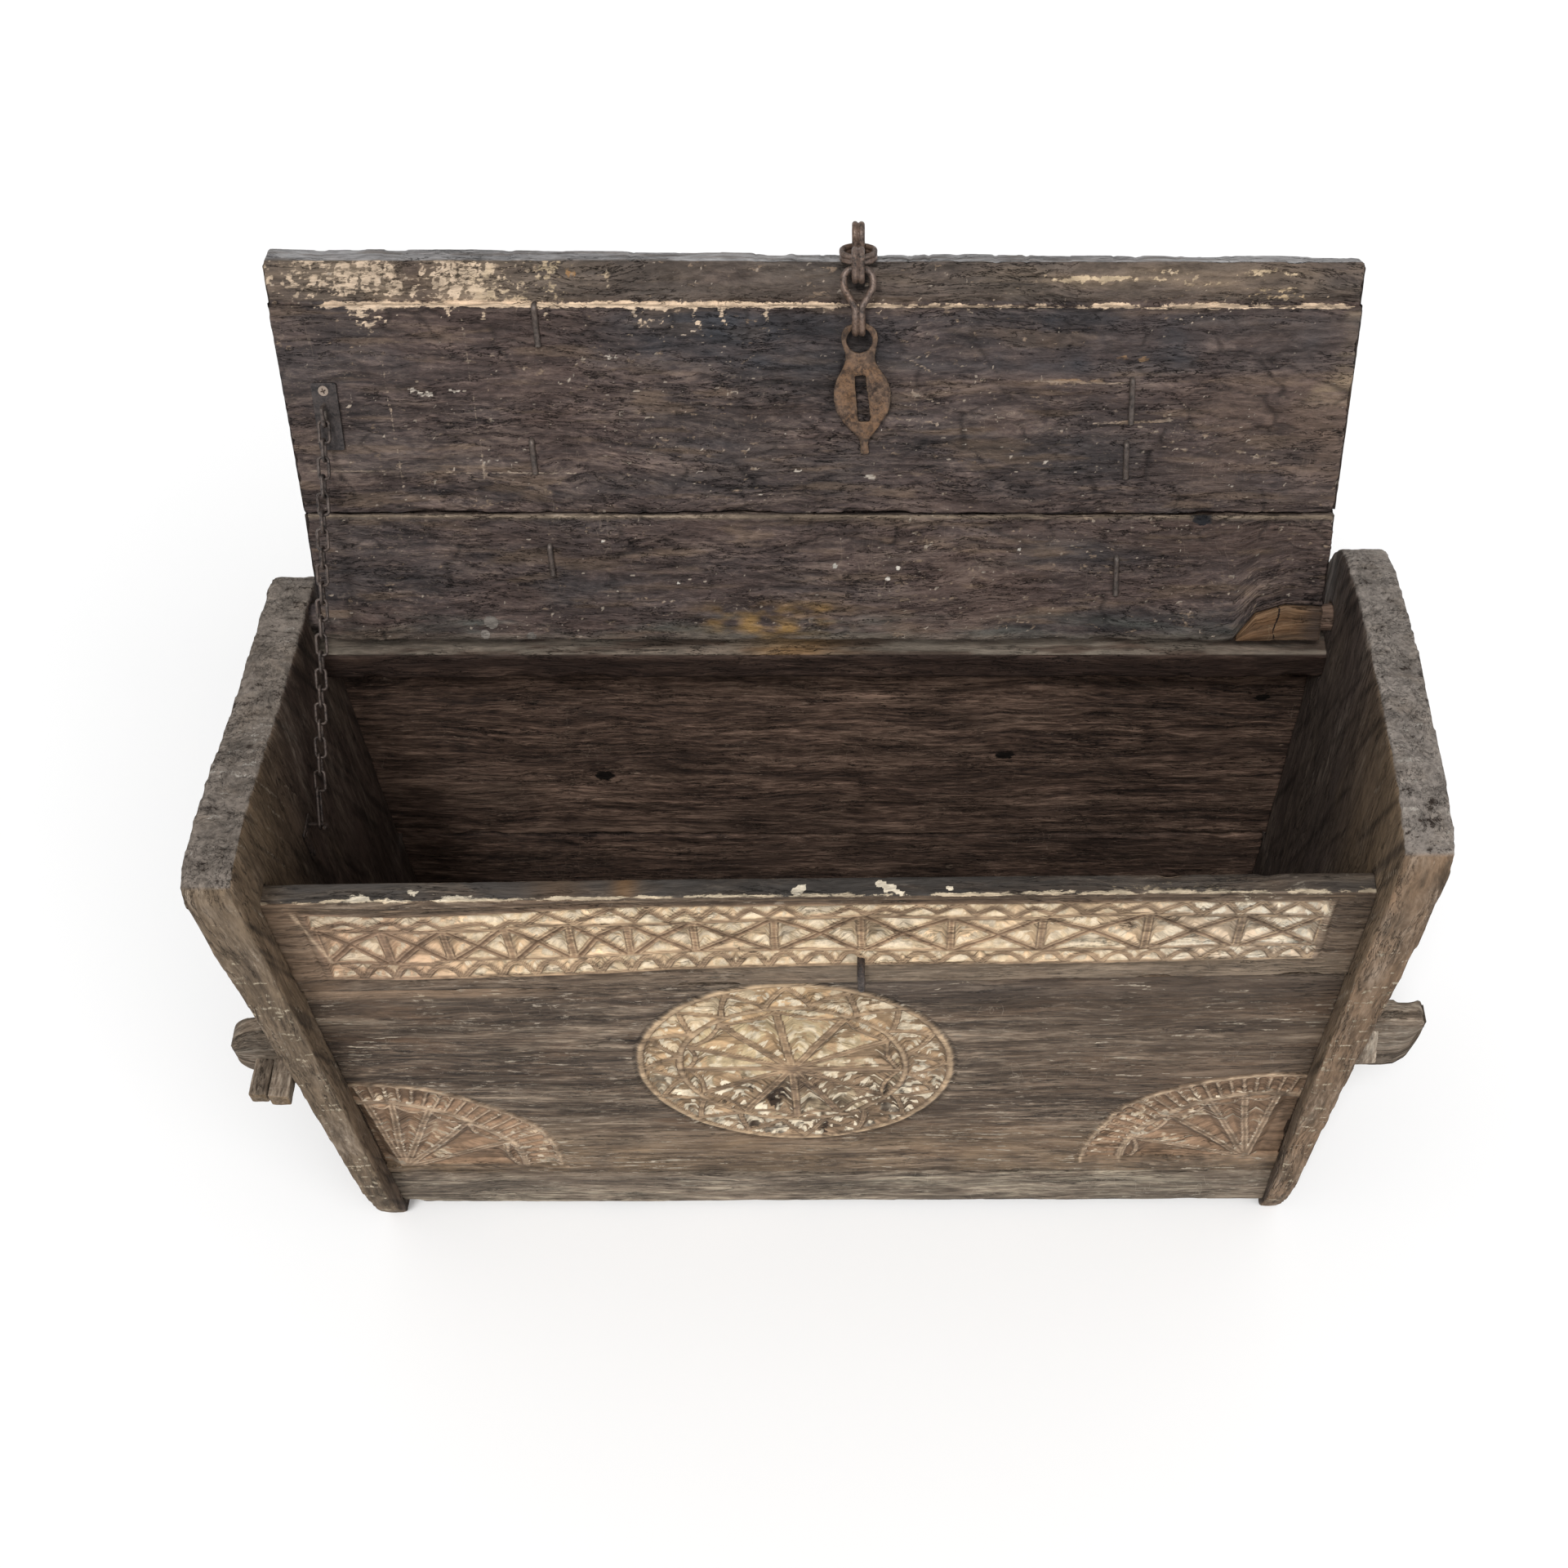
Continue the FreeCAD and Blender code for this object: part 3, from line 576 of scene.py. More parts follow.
    # dirt and painted shade in the hollows
    dirt = n.attr("dirt", "Fac")
    dn = n.noise(n.mapping(gc, (60, 90, 90)), 1.0, 4.0, 0.7)
    dfac = n.math("MULTIPLY", dirt, n.range(dn, 0.2, 0.7, 0.65, 1.1), True)
    # a stain that has soaked in, with the grain showing through it
    tnn = n.t.nodes.new("ShaderNodeAttribute")
    tnn.attribute_name = "tn"
    tt = n.range(v, 0.40, 0.60, 0.66, 1.34)
    tcol = n.mix(1.0, tnn.outputs["Color"], n.mix(1.0, (1, 1, 1), tt, "MULTIPLY"), "MULTIPLY")
    tcol = n.mix(n.math("MULTIPLY", lines, 0.5 * crack_amount), tcol, tuple(0.6 * c for c in dark))
    tf = n.math("MULTIPLY", tnn.outputs["Alpha"], n.range(tone, 0.30, 0.70, 1.25, 0.75), True)
    col = n.mix(tf, col, tcol)
    col = n.mix(n.math("MULTIPLY", dfac, 0.85, True), col, tuple(0.34 * c for c in dark))
    # overlay: paint and patina, broken up by the grain and by chips
    ovn = n.t.nodes.new("ShaderNodeAttribute")
    ovn.attribute_name = "ov"
    chips = n.noise(n.mapping(gc, (95, 230, 230), (3, 3, 3)), 1.0, 6.0, 0.78, 0.2)
    fac = n.range(n.math("ADD", ovn.outputs["Alpha"], n.math("MULTIPLY", n.math("SUBTRACT", chips, 0.5), 1.9)),
                  0.40, 0.60)
    fac = n.math("MULTIPLY", fac, n.range(ovn.outputs["Alpha"], 0.04, 0.24))
    paint_tone = n.range(n.noise(n.mapping(gc, (44, 120, 120), (8, 5, 1)), 1.0, 5.0, 0.75), 0.30, 0.70, 0.58, 1.24)
    pc = n.mix(1.0, ovn.outputs["Color"], n.mix(1.0, (1, 1, 1), paint_tone, "MULTIPLY"), "MULTIPLY")
    col = n.mix(fac, col, pc)
    n.t.links.new(col, n.bsdf.inputs["Base Color"])
    r = n.range(streak, 0.3, 0.7, rough + 0.1, rough - 0.12)
    r = n.math("ADD", r, n.math("MULTIPLY", fac, 0.08))
    n.t.links.new(r, n.bsdf.inputs["Roughness"])
    n.bsdf.inputs["Specular IOR Level"].default_value = spec
    b1 = n.bump(n.math("SUBTRACT", streak, n.math("MULTIPLY", lines, 0.7)), 0.8 * bump, 0.0030)
    b2 = n.bump(fine, 0.7 * bump, 0.0014, b1)
    b3 = n.bump(fac, 0.4, 0.0005, b2)
    n.t.links.new(b3, n.bsdf.inputs["Normal"])
    return n.mat


def iron(name, dark, mid, rust, rust_amount=0.5, rough=0.62, metal=0.55, scale=1.0, bump=1.0, polish=None):
    """Old forged iron, from object coordinates: mill scale, rust blooms, pits, and high places made paler by rubbing
    and by a painted highlight.
    """
    n = Net(name)
    co = n.objco()
    a = n.noise(co, 110 * scale, 6.0, 0.7)
    b = n.noise(co, 420 * scale, 4.0, 0.7)
    c = n.noise(co, 38 * scale, 4.0, 0.6, 0.5)
    pits = n.voronoi(co, 520 * scale)
    col = n.ramp(n.math("ADD", n.math("MULTIPLY", a, 0.6), n.math("MULTIPLY", b, 0.4)),
                 [(0.40, dark), (0.51, mid), (0.64, tuple(1.6 * x for x in mid))])
    rf = n.math("MULTIPLY", n.range(n.math("ADD", n.math("MULTIPLY", c, 0.6), n.math("MULTIPLY", b, 0.4)), 0.42, 0.6),
                rust_amount)
    col = n.mix(rf, col, n.ramp(b, [(0.3, tuple(0.55 * x for x in rust)), (0.7, tuple(1.25 * x for x in rust))]))
    col = n.mix(n.math("MULTIPLY", n.range(pits, 0.05, 0.28, 1.0, 0.0), 0.6), col, tuple(0.4 * x for x in dark))
    col = n.mix(n.math("MULTIPLY", n.attr("dirt", "Fac"), 0.75, True), col, tuple(0.5 * x for x in dark))
    # convex places made paler: rubbed wear with a painted highlight
    if polish is not None:
        geo = n.t.nodes.new("ShaderNodeNewGeometry")
        p = n.range(geo.outputs["Pointiness"], 0.51, 0.58)
        col = n.mix(n.math("MULTIPLY", p, 0.6), col, polish)
    n.t.links.new(col, n.bsdf.inputs["Base Color"])
    n.bsdf.inputs["Metallic"].default_value = metal
    n.t.links.new(n.range(a, 0.3, 0.7, rough + 0.12, rough - 0.14), n.bsdf.inputs["Roughness"])
    h = n.math("ADD", n.math("MULTIPLY", a, 0.7), n.math("MULTIPLY", n.range(pits, 0.0, 0.35), 0.5))
    n.t.links.new(n.bump(n.math("ADD", h, n.math("MULTIPLY", b, 0.3)), 0.5 * bump, 0.0007), n.bsdf.inputs["Normal"])
    return n.mat


def tone(r, g, b, k=0.80):
    """A surface colour for what shows as this 8-bit colour in the studio's light."""
    return tuple(k * ((c / 255 + 0.055) / 1.055) ** 2.4 if c > 10 else k * c / 255 / 12.92 for c in (r, g, b))


CREAM = tone(234, 210, 174)
PALE = tone(244, 230, 206)
GOLD = tone(170, 132, 86)
NEAR_BLACK = tone(36, 36, 40)

m_front = wood("carved_front", tone(54, 44, 37), tone(100, 84, 70), tone(158, 140, 120), tint=tone(84, 69, 56),
               tint_amount=0.5, scuff=tone(184, 170, 152), scuff_amount=0.85, scratch_amount=0.6, warm=tone(118, 88, 64),
               warm_amount=0.35, rough=0.68, spec=0.2, contrast=1.25, fleck=0.575, short=1.2)
m_rail = wood("rail", tone(76, 66, 58), tone(134, 119, 103), tone(186, 172, 150), tint=tone(114, 98, 84), tint_amount=0.5,
              scuff=tone(206, 194, 174), scuff_amount=0.7, rough=0.72, spec=0.2, contrast=1.2, fleck=0.58)
m_lid = wood("lid_dark", tone(46, 39, 38), tone(82, 69, 65), tone(124, 107, 97), tint=tone(70, 63, 63), tint_amount=0.5,
             scuff=tone(160, 142, 126), scuff_amount=0.6, scratch_amount=0.45, warm=tone(98, 74, 60), warm_amount=0.25,
             rough=0.62, spec=0.22, short=2.5, fleck=0.60, contrast=1.2, bump=1.4)
m_inside = wood("inside", tone(60, 48, 43), tone(108, 86, 74), tone(160, 132, 114), tint=tone(84, 68, 60),
                tint_amount=0.5, scuff=tone(186, 162, 142), scuff_amount=0.5, scratch_amount=0.4, rough=0.74, spec=0.15,
                short=1.4, contrast=1.3, bump=1.3)
m_end = wood("end_grey", tone(60, 51, 45), tone(116, 102, 88), tone(180, 166, 150), tint=tone(98, 84, 70),
             tint_amount=0.5, scuff=tone(206, 196, 180), scuff_amount=0.75, scratch_amount=0.7, warm=tone(122, 98, 74),
             warm_amount=0.4, rough=0.76, spec=0.15, short=1.5, contrast=1.2, fleck=0.58, bump=1.2)
m_pale = wood("patch_new", tone(84, 58, 38), tone(118, 88, 62), tone(158, 126, 94), tint=tone(104, 76, 52),
              tint_amount=0.4, scuff=tone(170, 146, 116), scuff_amount=0.3, rough=0.64, spec=0.2)
m_wedge = wood("wedge_grey", tone(80, 69, 59), tone(140, 124, 108), tone(188, 174, 156), tint=tone(120, 104, 88),
               tint_amount=0.5, scuff=tone(200, 188, 170), scuff_amount=0.6, rough=0.76, spec=0.15, short=2.2, contrast=1.2)
m_iron = iron("iron_dark", tone(36, 31, 30), tone(78, 68, 63), tone(110, 84, 66), 0.35, 0.58, 0.35)
m_links = iron("iron_links", tone(46, 38, 35), tone(112, 95, 86), tone(128, 98, 76), 0.45, 0.5, 0.35, bump=1.2,
               polish=tone(196, 178, 162))
m_chain = iron("iron_chain", tone(38, 33, 32), tone(90, 80, 75), tone(102, 82, 70), 0.35, 0.5, 0.5, polish=tone(150, 140, 132))
m_plate = iron("iron_plate", tone(38, 36, 37), tone(74, 68, 67), tone(90, 74, 64), 0.25, 0.55, 0.4, bump=0.6)
m_hasp = iron("iron_hasp", tone(60, 45, 37), tone(114, 90, 72), tone(138, 102, 70), 0.6, 0.7, 0.2, scale=0.8, bump=1.4,
              polish=tone(176, 152, 126))

# ------------------------------------------------------------------ the front boards
TOP = ([-510, -150, 200, 510], [632, 640.3, 644.9, 648])


def jz(x):
    return 477.0 + 28.5 * (x + 500) / 1000


def poly(x, pts):
    p = np.array(pts, float)
    return np.interp(x, p[:, 0], p[:, 1])


def seg(px, pz, ax, az, bx, bz):
    dx, dz = bx - ax, bz - az
    t = np.clip(((px - ax) * dx + (pz - az) * dz) / (dx * dx + dz * dz + 1e-9), 0, 1)
    return np.hypot(px - ax - t * dx, pz - az - t * dz)


def near_line(px, pz, pts):
    d = np.full(px.shape, 99.0)
    for (ax, az), (bx, bz) in zip(pts[:-1], pts[1:]):
        near = (px > min(ax, bx) - 14) & (px < max(ax, bx) + 14)
        if near.any():
            d[near] = np.minimum(d[near], seg(px[near], pz[near], ax, az, bx, bz))
    return d


T_LINE = [(-480, 613), (-400, 613), (-300, 620), (-200, 632), (-100, 636), (0, 638), (100, 640), (200, 641), (300, 643),
          (400, 645), (470, 646)]
A_LINE = [(-450, 586), (-385, 586), (-340, 587), (-300, 592), (-260, 600), (-200, 600), (-150, 602), (-120, 604),
          (-100, 607), (-40, 612), (0, 614), (40, 618), (80, 616), (120, 613), (200, 612), (240, 619), (300, 620),
          (350, 618), (450, 618)]
B_LINE = [(-450, 533), (-400, 531), (-370, 530), (-350, 538), (-300, 540), (-250, 541), (-200, 547), (-150, 553),
          (-100, 556), (0, 558), (60, 556), (240, 556), (300, 558), (350, 561), (400, 564), (450, 566)]
D_LINE = [(-450, 503), (-400, 503), (-350, 505), (-300, 508), (-250, 511), (-200, 515), (-150, 521), (-100, 524),
          (-50, 526), (0, 528), (60, 530), (250, 531), (300, 533), (350, 535), (400, 537), (450, 539)]
DIVIDERS = [-465, -405, -348, -290, -232, -178, -117, -43, 38, 121, 205, 302, 388, 463]
CROSSES = [(-437, 565), (-375, 563), (-318, 563), (-262, 572), (-208, 580), (-150, 580), (-82, 580), (0, 588),
           (76, 588), (165, 584), (250, 593), (345, 592), (428, 590)]
PEAKS = [(-437, 600), (-392, 603), (-362, 606), (-310, 603), (-283, 606), (-250, 622), (-190, 628), (-156, 627),
         (-122, 626), (-97, 628), (-62, 630), (-33, 632), (28, 633), (60, 630), (92, 636), (128, 638), (160, 632),
         (195, 630), (228, 638), (262, 636), (298, 636), (333, 640), (370, 643)]
DIPS = [(-460, 588), (-415, 590), (-380, 590), (-348, 592), (-297, 595), (-270, 600), (-225, 603), (-170, 608),
        (-140, 608), (-110, 612), (-78, 613), (-47, 618), (-15, 615), (10, 620), (45, 620), (75, 623), (108, 623),
        (143, 620), (178, 615), (210, 620), (243, 622), (275, 625), (310, 625), (350, 620), (385, 622), (402, 643),
        (418, 622), (436, 643), (458, 622)]
DOMES = [-452, -420, -393, -362, -322, -288, -256, -225, -195, -165, -132, -98, -65, -35, -3, 28, 60, 92, 130, 170, 215,
         247, 280, 312, 340, 375, 410, 442]


def frieze(x, z):
    """Height of the carved band at (x, z) and how much pale filling sits there."""
    x = x + 1.3 * fbm(v3(x / 26, z / 26, 3.0), 2, 41)
    z = z + 1.1 * fbm(v3(x / 24, z / 24, 8.0), 2, 42)
    t, a, b, d = (poly(x, p) for p in (T_LINE, A_LINE, B_LINE, D_LINE))
    h = np.zeros_like(x)
    pit = np.full(x.shape, -9.0)
    inside = (x > -466) & (x < 464)
    # crosses
    k = np.clip(np.searchsorted(DIVIDERS, x) - 1, 0, len(CROSSES) - 1)
    dv = np.array(DIVIDERS, float)
    cr = np.array(CROSSES, float)
    x0, x1 = dv[k], dv[k + 1]
    cx, cz = cr[k, 0], cr[k, 1]
    cz = np.clip(cz, poly(cx, B_LINE) + 18, poly(cx, A_LINE) - 16)
    arms = np.full(x.shape, 99.0)
    for ex in (x0 + 3, x1 - 3):
        for line in (A_LINE, B_LINE):
            arms = np.minimum(arms, seg(x, z, ex, poly(ex, line), cx, cz))
    side = np.minimum(x - x0, x1 - x)
    row = (z < a) & (z > b) & inside
    band = np.minimum.reduce([arms - 3.5, side - 3.0, a - z - 1.7, z - b - 1.7])
    pit = np.where(row, band, pit)
    groove = np.where(row & (side > 4), np.exp(-(arms / 1.1) ** 2), 0)
    h = h - 1.5 * groove
    hatch = 0.5 + 0.5 * np.cos(2 * np.pi * (z + 0.55 * np.abs(x - np.where(x - x0 < x1 - x, x0, x1))) / 4.4)
    h = np.where(row & (side < 2.6), h - 0.8 * hatch ** 2 - 0.3, h)
    # zigzag above
    zz = sorted(PEAKS + DIPS)
    up = near_line(x, z, zz)
    row2 = (z >= a) & (z < t) & inside
    pit = np.where(row2, np.minimum.reduce([up - 2.3, t - z - 1.6, z - a - 1.6]), pit)
    h = np.where(row2 & (up < 2.4), h - 0.5 * np.exp(-(up / 0.8) ** 2), h)
    groove = np.maximum(groove, np.where(row2, 0.4 * np.exp(-(up / 0.8) ** 2), 0))
    # arches below
    pts = []
    for i, c in enumerate(DOMES):
        n = DOMES[i + 1] if i + 1 < len(DOMES) else c + 32
        w = (n - c) / 2
        top, low = float(poly(c, B_LINE)) - 5.5, float(poly(c, D_LINE)) + 2.5
        for f, g in ((0, 1.0), (0.3, 0.9), (0.58, 0.62), (0.8, 0.25), (1.0, 0.0), (1.2, 0.25), (1.42, 0.62), (1.7, 0.9)):
            pts.append((c + w * f, low + (top - low) * g))
    dn = near_line(x, z, pts)
    row3 = (z > d) & (z <= b) & inside
    pit = np.where(row3, np.minimum.reduce([dn - 2.1, b - z - 1.6, z - d - 1.8]), pit)
    h = np.where(row3 & (dn < 2.3), h - 0.3 * np.exp(-(dn / 0.8) ** 2), h)
    deep = np.clip(pit, 0, None)
    h = h - np.minimum(1.1 * deep, 5.6) - 0.4 * np.clip(deep - 3, 0, 3)
    # lines that frame the band
    for off, wd, dp in ((4.6, 2.0, 2.0), (9.5, 1.5, 1.4)):
        h = h - dp * np.exp(-((z - t - off) / wd) ** 2) * (np.abs(x) < 485)
    h = h - 1.6 * np.exp(-((z - d + 3.8) / 1.7) ** 2) * (np.abs(x) < 480)
    for lx in (-475.0, 472.0):
        h = h - 1.6 * np.exp(-((x - lx) / 1.8) ** 2) * (z > d) * (z < t + 2)
    h = h + np.where(pit < 0, 0.25 * fbm(v3(x / 5, z / 5, 1.0), 2, 47), 0.35 * fbm(v3(x / 3.4, z / 3.4, 1.0), 2, 48))
    return h, pit, groove


ROS, ROS_R = (-33.0, 326.0), 162.0
RAYS = [-2, 30, 61, 96, 127, 156, 180, 208.6, 240, 271, 296.5, 328]


def rosette(x, z):
    r1, t1 = np.hypot(x + 33, z - 326), np.degrees(np.arctan2(z - 326, x + 33))
    r2 = np.hypot(x + 36, z - 325)
    r3, t3 = np.hypot(x + 37, z - 320), np.degrees(np.arctan2(z - 320, x + 37)) % 360
    h = np.zeros_like(x)
    pit = np.full(x.shape, -9.0)
    rays = np.array(RAYS + [358.0])
    tt = np.where(t3 > 358, t3 - 360, t3)
    k = np.clip(np.searchsorted(rays, tt) - 1, 0, 11)
    f = (tt - rays[k]) / (rays[k + 1] - rays[k])
    da = np.radians(np.minimum(tt - rays[k], rays[k + 1] - tt))
    d_ray = r3 * np.sin(np.clip(da, 0, 1.57))
    bow = (2 * np.abs(f - 0.5)) ** 2
    arc = 99.5 + 10.0 * bow
    petal = np.minimum(d_ray - 3.4, arc - r2)
    lens = np.minimum(r2 - arc - 3.6, 114.3 - r2)
    inner = r2 < 114.3
    pit = np.where(inner, np.maximum(petal, np.minimum(lens, d_ray - 1.0)), pit)
    h = np.where(inner & (d_ray < 3.6) & (r3 > 5), h - 0.85 * np.exp(-(d_ray / 0.9) ** 2), h)
    # ring of triangles
    per = 22.5
    u = ((91.5 - t1) / per) % 1.0
    tri = np.abs(2 * u - 1)                      # 1 at an outer point, 0 at an inner one
    rz = 121.0 + 33.5 * tri
    slope = 33.5 * 2 / (math.radians(per) * r1 + 1e-6)
    d_zig = np.abs(r1 - rz) / np.sqrt(1 + slope ** 2)
    ring = (r2 > 118.6) & (r1 < 158.2)
    pit = np.where(ring, np.minimum.reduce([d_zig - 2.3, r2 - 119.2, 157.2 - r1]), pit)
    h = np.where(ring & (d_zig < 2.4), h - 0.3 * np.exp(-(d_zig / 0.8) ** 2), h)
    deep = np.clip(pit, 0, None)
    vee = np.where(inner & (r2 < arc), np.minimum(0.80 * deep, 8.0), np.minimum(1.05 * deep, 5.2))
    h = h - vee
    rim = r1
    h = h + 0.7 * np.exp(-((rim - 160.8) / 1.9) ** 2) + 0.5 * np.exp(-((r2 - 116.5) / 1.4) ** 2)
    h = h - 1.5 * np.exp(-((rim - 165.8) / 1.7) ** 2)
    on = step(170, 168, rim)
    return h * on, np.where(rim < 164, pit, -9.0), rim, r2, t1


LFAN = ([(2.6, 177), (31, 190), (52, 187), (74, 192), (88, 195)], [(3.7, 138), (26, 144), (44, 142), (71, 151.5), (90, 157)],
        [0, 27, 50.6, 69, 84, 94])
RFAN = ([(-6, 186), (25, 184), (40, 192), (55, 187.5), (68, 187.6), (81, 188), (92, 190)],
        [(-6, 142), (25, 144), (45, 143), (68, 147), (90, 149)], [-4, 20, 46.5, 66, 81, 95])


def fan(x, z, cx, cz, flip, spec):
    outer, inner, rays = spec
    dx = (x - cx) * flip
    dz = z - cz
    r, t = np.hypot(dx, dz), np.degrees(np.arctan2(dz, dx))
    ro, ri = poly(t, outer), poly(t, inner)
    h = np.zeros_like(x)
    pit = np.full(x.shape, -9.0)
    on = (r < ro + 6) & (t > -3) & (dz > 1.0)
    # flutes between the two arcs
    u = (t / 4.5) % 1.0
    w = np.radians(4.5) * r
    across = (0.5 - np.abs(u - 0.5)) * w
    end = np.minimum(r - ri - 3.2 - 0.9 * (1 - 4 * (u - 0.5) ** 2), ro - 3.0 - 3.4 * (2 * u - 1) ** 2 - r)
    fl = np.minimum(across - 1.0, end * 0.9)
    band = on & (r > ri + 1)
    pit = np.where(band, fl, pit)
    h = np.where(band, h - np.clip(fl, 0, 3.4) * 1.0, h)
    # fan of deeper pits inside the inner arc
    ry = np.array(rays, float)
    k = np.clip(np.searchsorted(ry, t) - 1, 0, len(ry) - 2)
    f = np.clip((t - ry[k]) / (ry[k + 1] - ry[k]), 0, 1)
    da = np.radians(np.minimum(np.abs(t - ry[k]), np.abs(ry[k + 1] - t)))
    d_ray = r * np.sin(np.clip(da, 0, 1.5))
    arc = ri - 17 + 13.0 * (2 * np.abs(f - 0.5)) ** 2
    petal = np.minimum(d_ray - 3.3, arc - r)
    tri = np.minimum.reduce([r - arc - 3.4, ri - 3.5 - r, d_ray - 1.2])
    core = on & (r <= ri + 1)
    p2 = np.maximum(petal, tri)
    pit = np.where(core, p2, pit)
    h = np.where(core, h - np.minimum(0.62 * np.clip(p2, 0, None), 6.0), h)
    h = np.where(core & (d_ray < 3.4) & (r > 14), h - 0.7 * np.exp(-(d_ray / 0.9) ** 2), h)
    lines = 0.55 * np.exp(-((r - ri) / 1.5) ** 2) + 0.55 * np.exp(-((r - ro) / 1.8) ** 2)
    lines = lines - 1.3 * np.exp(-((r - ro - 4.6) / 1.6) ** 2)
    h = h + np.where(dz > 2, lines, 0)
    base = (dx > -8) & (dx < ro + 8)
    h = h - np.where(base, 1.7 * np.exp(-((dz - 0.5) / 1.6) ** 2) + 1.0 * np.exp(-((dz + 6.5) / 1.3) ** 2), 0)
    return h, pit, r, ri, ro


def front_loop(y0, points, radii, fine, coarse):
    """Section of a front board in (y, w): the face is the first run, w runs up it."""
    steps = [fine] + [coarse] * (len(points) - 1)
    return loop2(points, radii, steps)


def face_mask(info):
    return step(0.35, 0.75, -info["n"][..., 1])


def worn(info, seed, wave=0.8, dish=0.4, size=(60, 24), grain=0.25, chip=1.4, edge_r=3.0):
    """Hand-hewn surface: slow wave, shallow tool dishes, raised grain, chipped arrises."""
    L = info["L"]
    u, v = L[..., 0], L[..., 1] + L[..., 2]
    w = L[..., 1] - L[..., 2]
    d = wave * fbm(v3(u / 240, v / 90, w / 90 + seed), 3, seed)
    if dish:
        q = np.stack([(u + 9 * fbm(v3(u / 50, v / 50, 1.0), 2, seed + 3)) / size[0], v / size[1]], -1)
        b1, b2, tg = cells(q, seed + 7)
        d = d - dish * (1.0 - np.clip(b1, 0, 1) ** 2 * 1.6) + 0.35 * dish * tg
    d = d + grain * fbm(v3(u / 46, v / 4.5, w / 4.5), 3, seed + 11)
    e = info["edge"]
    c = fbm(v3(u / 16, v / 16, w / 16), 3, seed + 13)
    d = d - chip * np.exp(-(e / edge_r) ** 2) * (0.45 + 1.6 * np.clip(c - 0.05, 0, 1))
    big = fbm(v3(u / 45, v / 45, w / 45), 2, seed + 15)
    d = d - 2.2 * chip * np.exp(-(e / (2.0 * edge_r)) ** 2) * step(0.32, 0.5, big)
    return d


def rgba(shape, col, alpha):
    o = np.zeros(shape + (4,))
    o[..., :3] = col
    o[..., 3] = alpha
    return o


def over(base, col, alpha):
    """Lay a colour over an overlay, which may be clear underneath."""
    a = np.clip(alpha, 0, 1)[..., None]
    b = base[..., 3:] * (1 - a)
    total = np.maximum(a + b, 1e-5)
    out = base.copy()
    out[..., :3] = (np.broadcast_to(np.asarray(col, float), base[..., :3].shape) * a + base[..., :3] * b) / total
    out[..., 3:] = a + b
    return out


def faces_up(h, z):
    """How much the carved face h over a grid of heights z turns upward (1) or downward (-1)."""
    dz = np.gradient(z, axis=1)
    return np.clip(-np.gradient(h, axis=1) / np.where(np.abs(dz) < 0.2, 1e9, dz), -1, 1)


def blend(weights, cols):
    return sum(w[..., None] * np.array(c) for w, c in zip(weights, cols))


# upper board, with the frieze
PHOTO_TOP = [(-493, 631), (-367, 640), (-220, 646), (-74, 651), (145, 655), (364, 658), (496, 662)]


def photo_z(x, z):
    t = (z - jz(x)) / (np.interp(x, *TOP) - jz(x))
    return jz(x) + t * (poly(x, PHOTO_TOP) - jz(x))


def upper_shape(P):
    x, w = P[..., 0], P[..., 2]
    zb, zt = jz(x) + 1.5, np.interp(x, *TOP)
    # the loop is drawn from 0 to 160; its top 50 mm keeps its real height
    z = np.where(w < 110, zb + w / 110 * (zt - 50 - zb), zt - 50 + (w - 110))
    return np.stack([x, P[..., 1], z], -1)


def upper_disp(info):
    L, P = info["L"], info["P"]
    x, z = P[..., 0], photo_z(P[..., 0], P[..., 2])
    m = face_mask(info) * (np.abs(x) < 503)
    h, pit, info["groove"] = frieze(x, z)
    info["pit"] = np.where(m > 0.5, pit, -9)
    info["up"] = faces_up(h, z)
    d = worn(info, 3, wave=0.5, dish=0.15, grain=0.22, chip=1.3)
    dirt = 0.16 * np.exp(-((info["pit"] - 0.2) / 0.8) ** 2)
    dirt = dirt + m * 0.55 * np.exp(-((z - poly(x, T_LINE) - 4.6) / 2.2) ** 2)
    dirt = dirt + m * 0.5 * np.exp(-((z - poly(x, T_LINE) - 9.5) / 1.8) ** 2)
    dirt = dirt + m * 0.45 * np.exp(-((z - poly(x, D_LINE) + 3.8) / 1.8) ** 2)
    dirt = dirt + 0.7 * step(6, 1, z - jz(x)) * m * step(-150, -300, x)
    return d + m * h, np.clip(dirt, 0, 1)


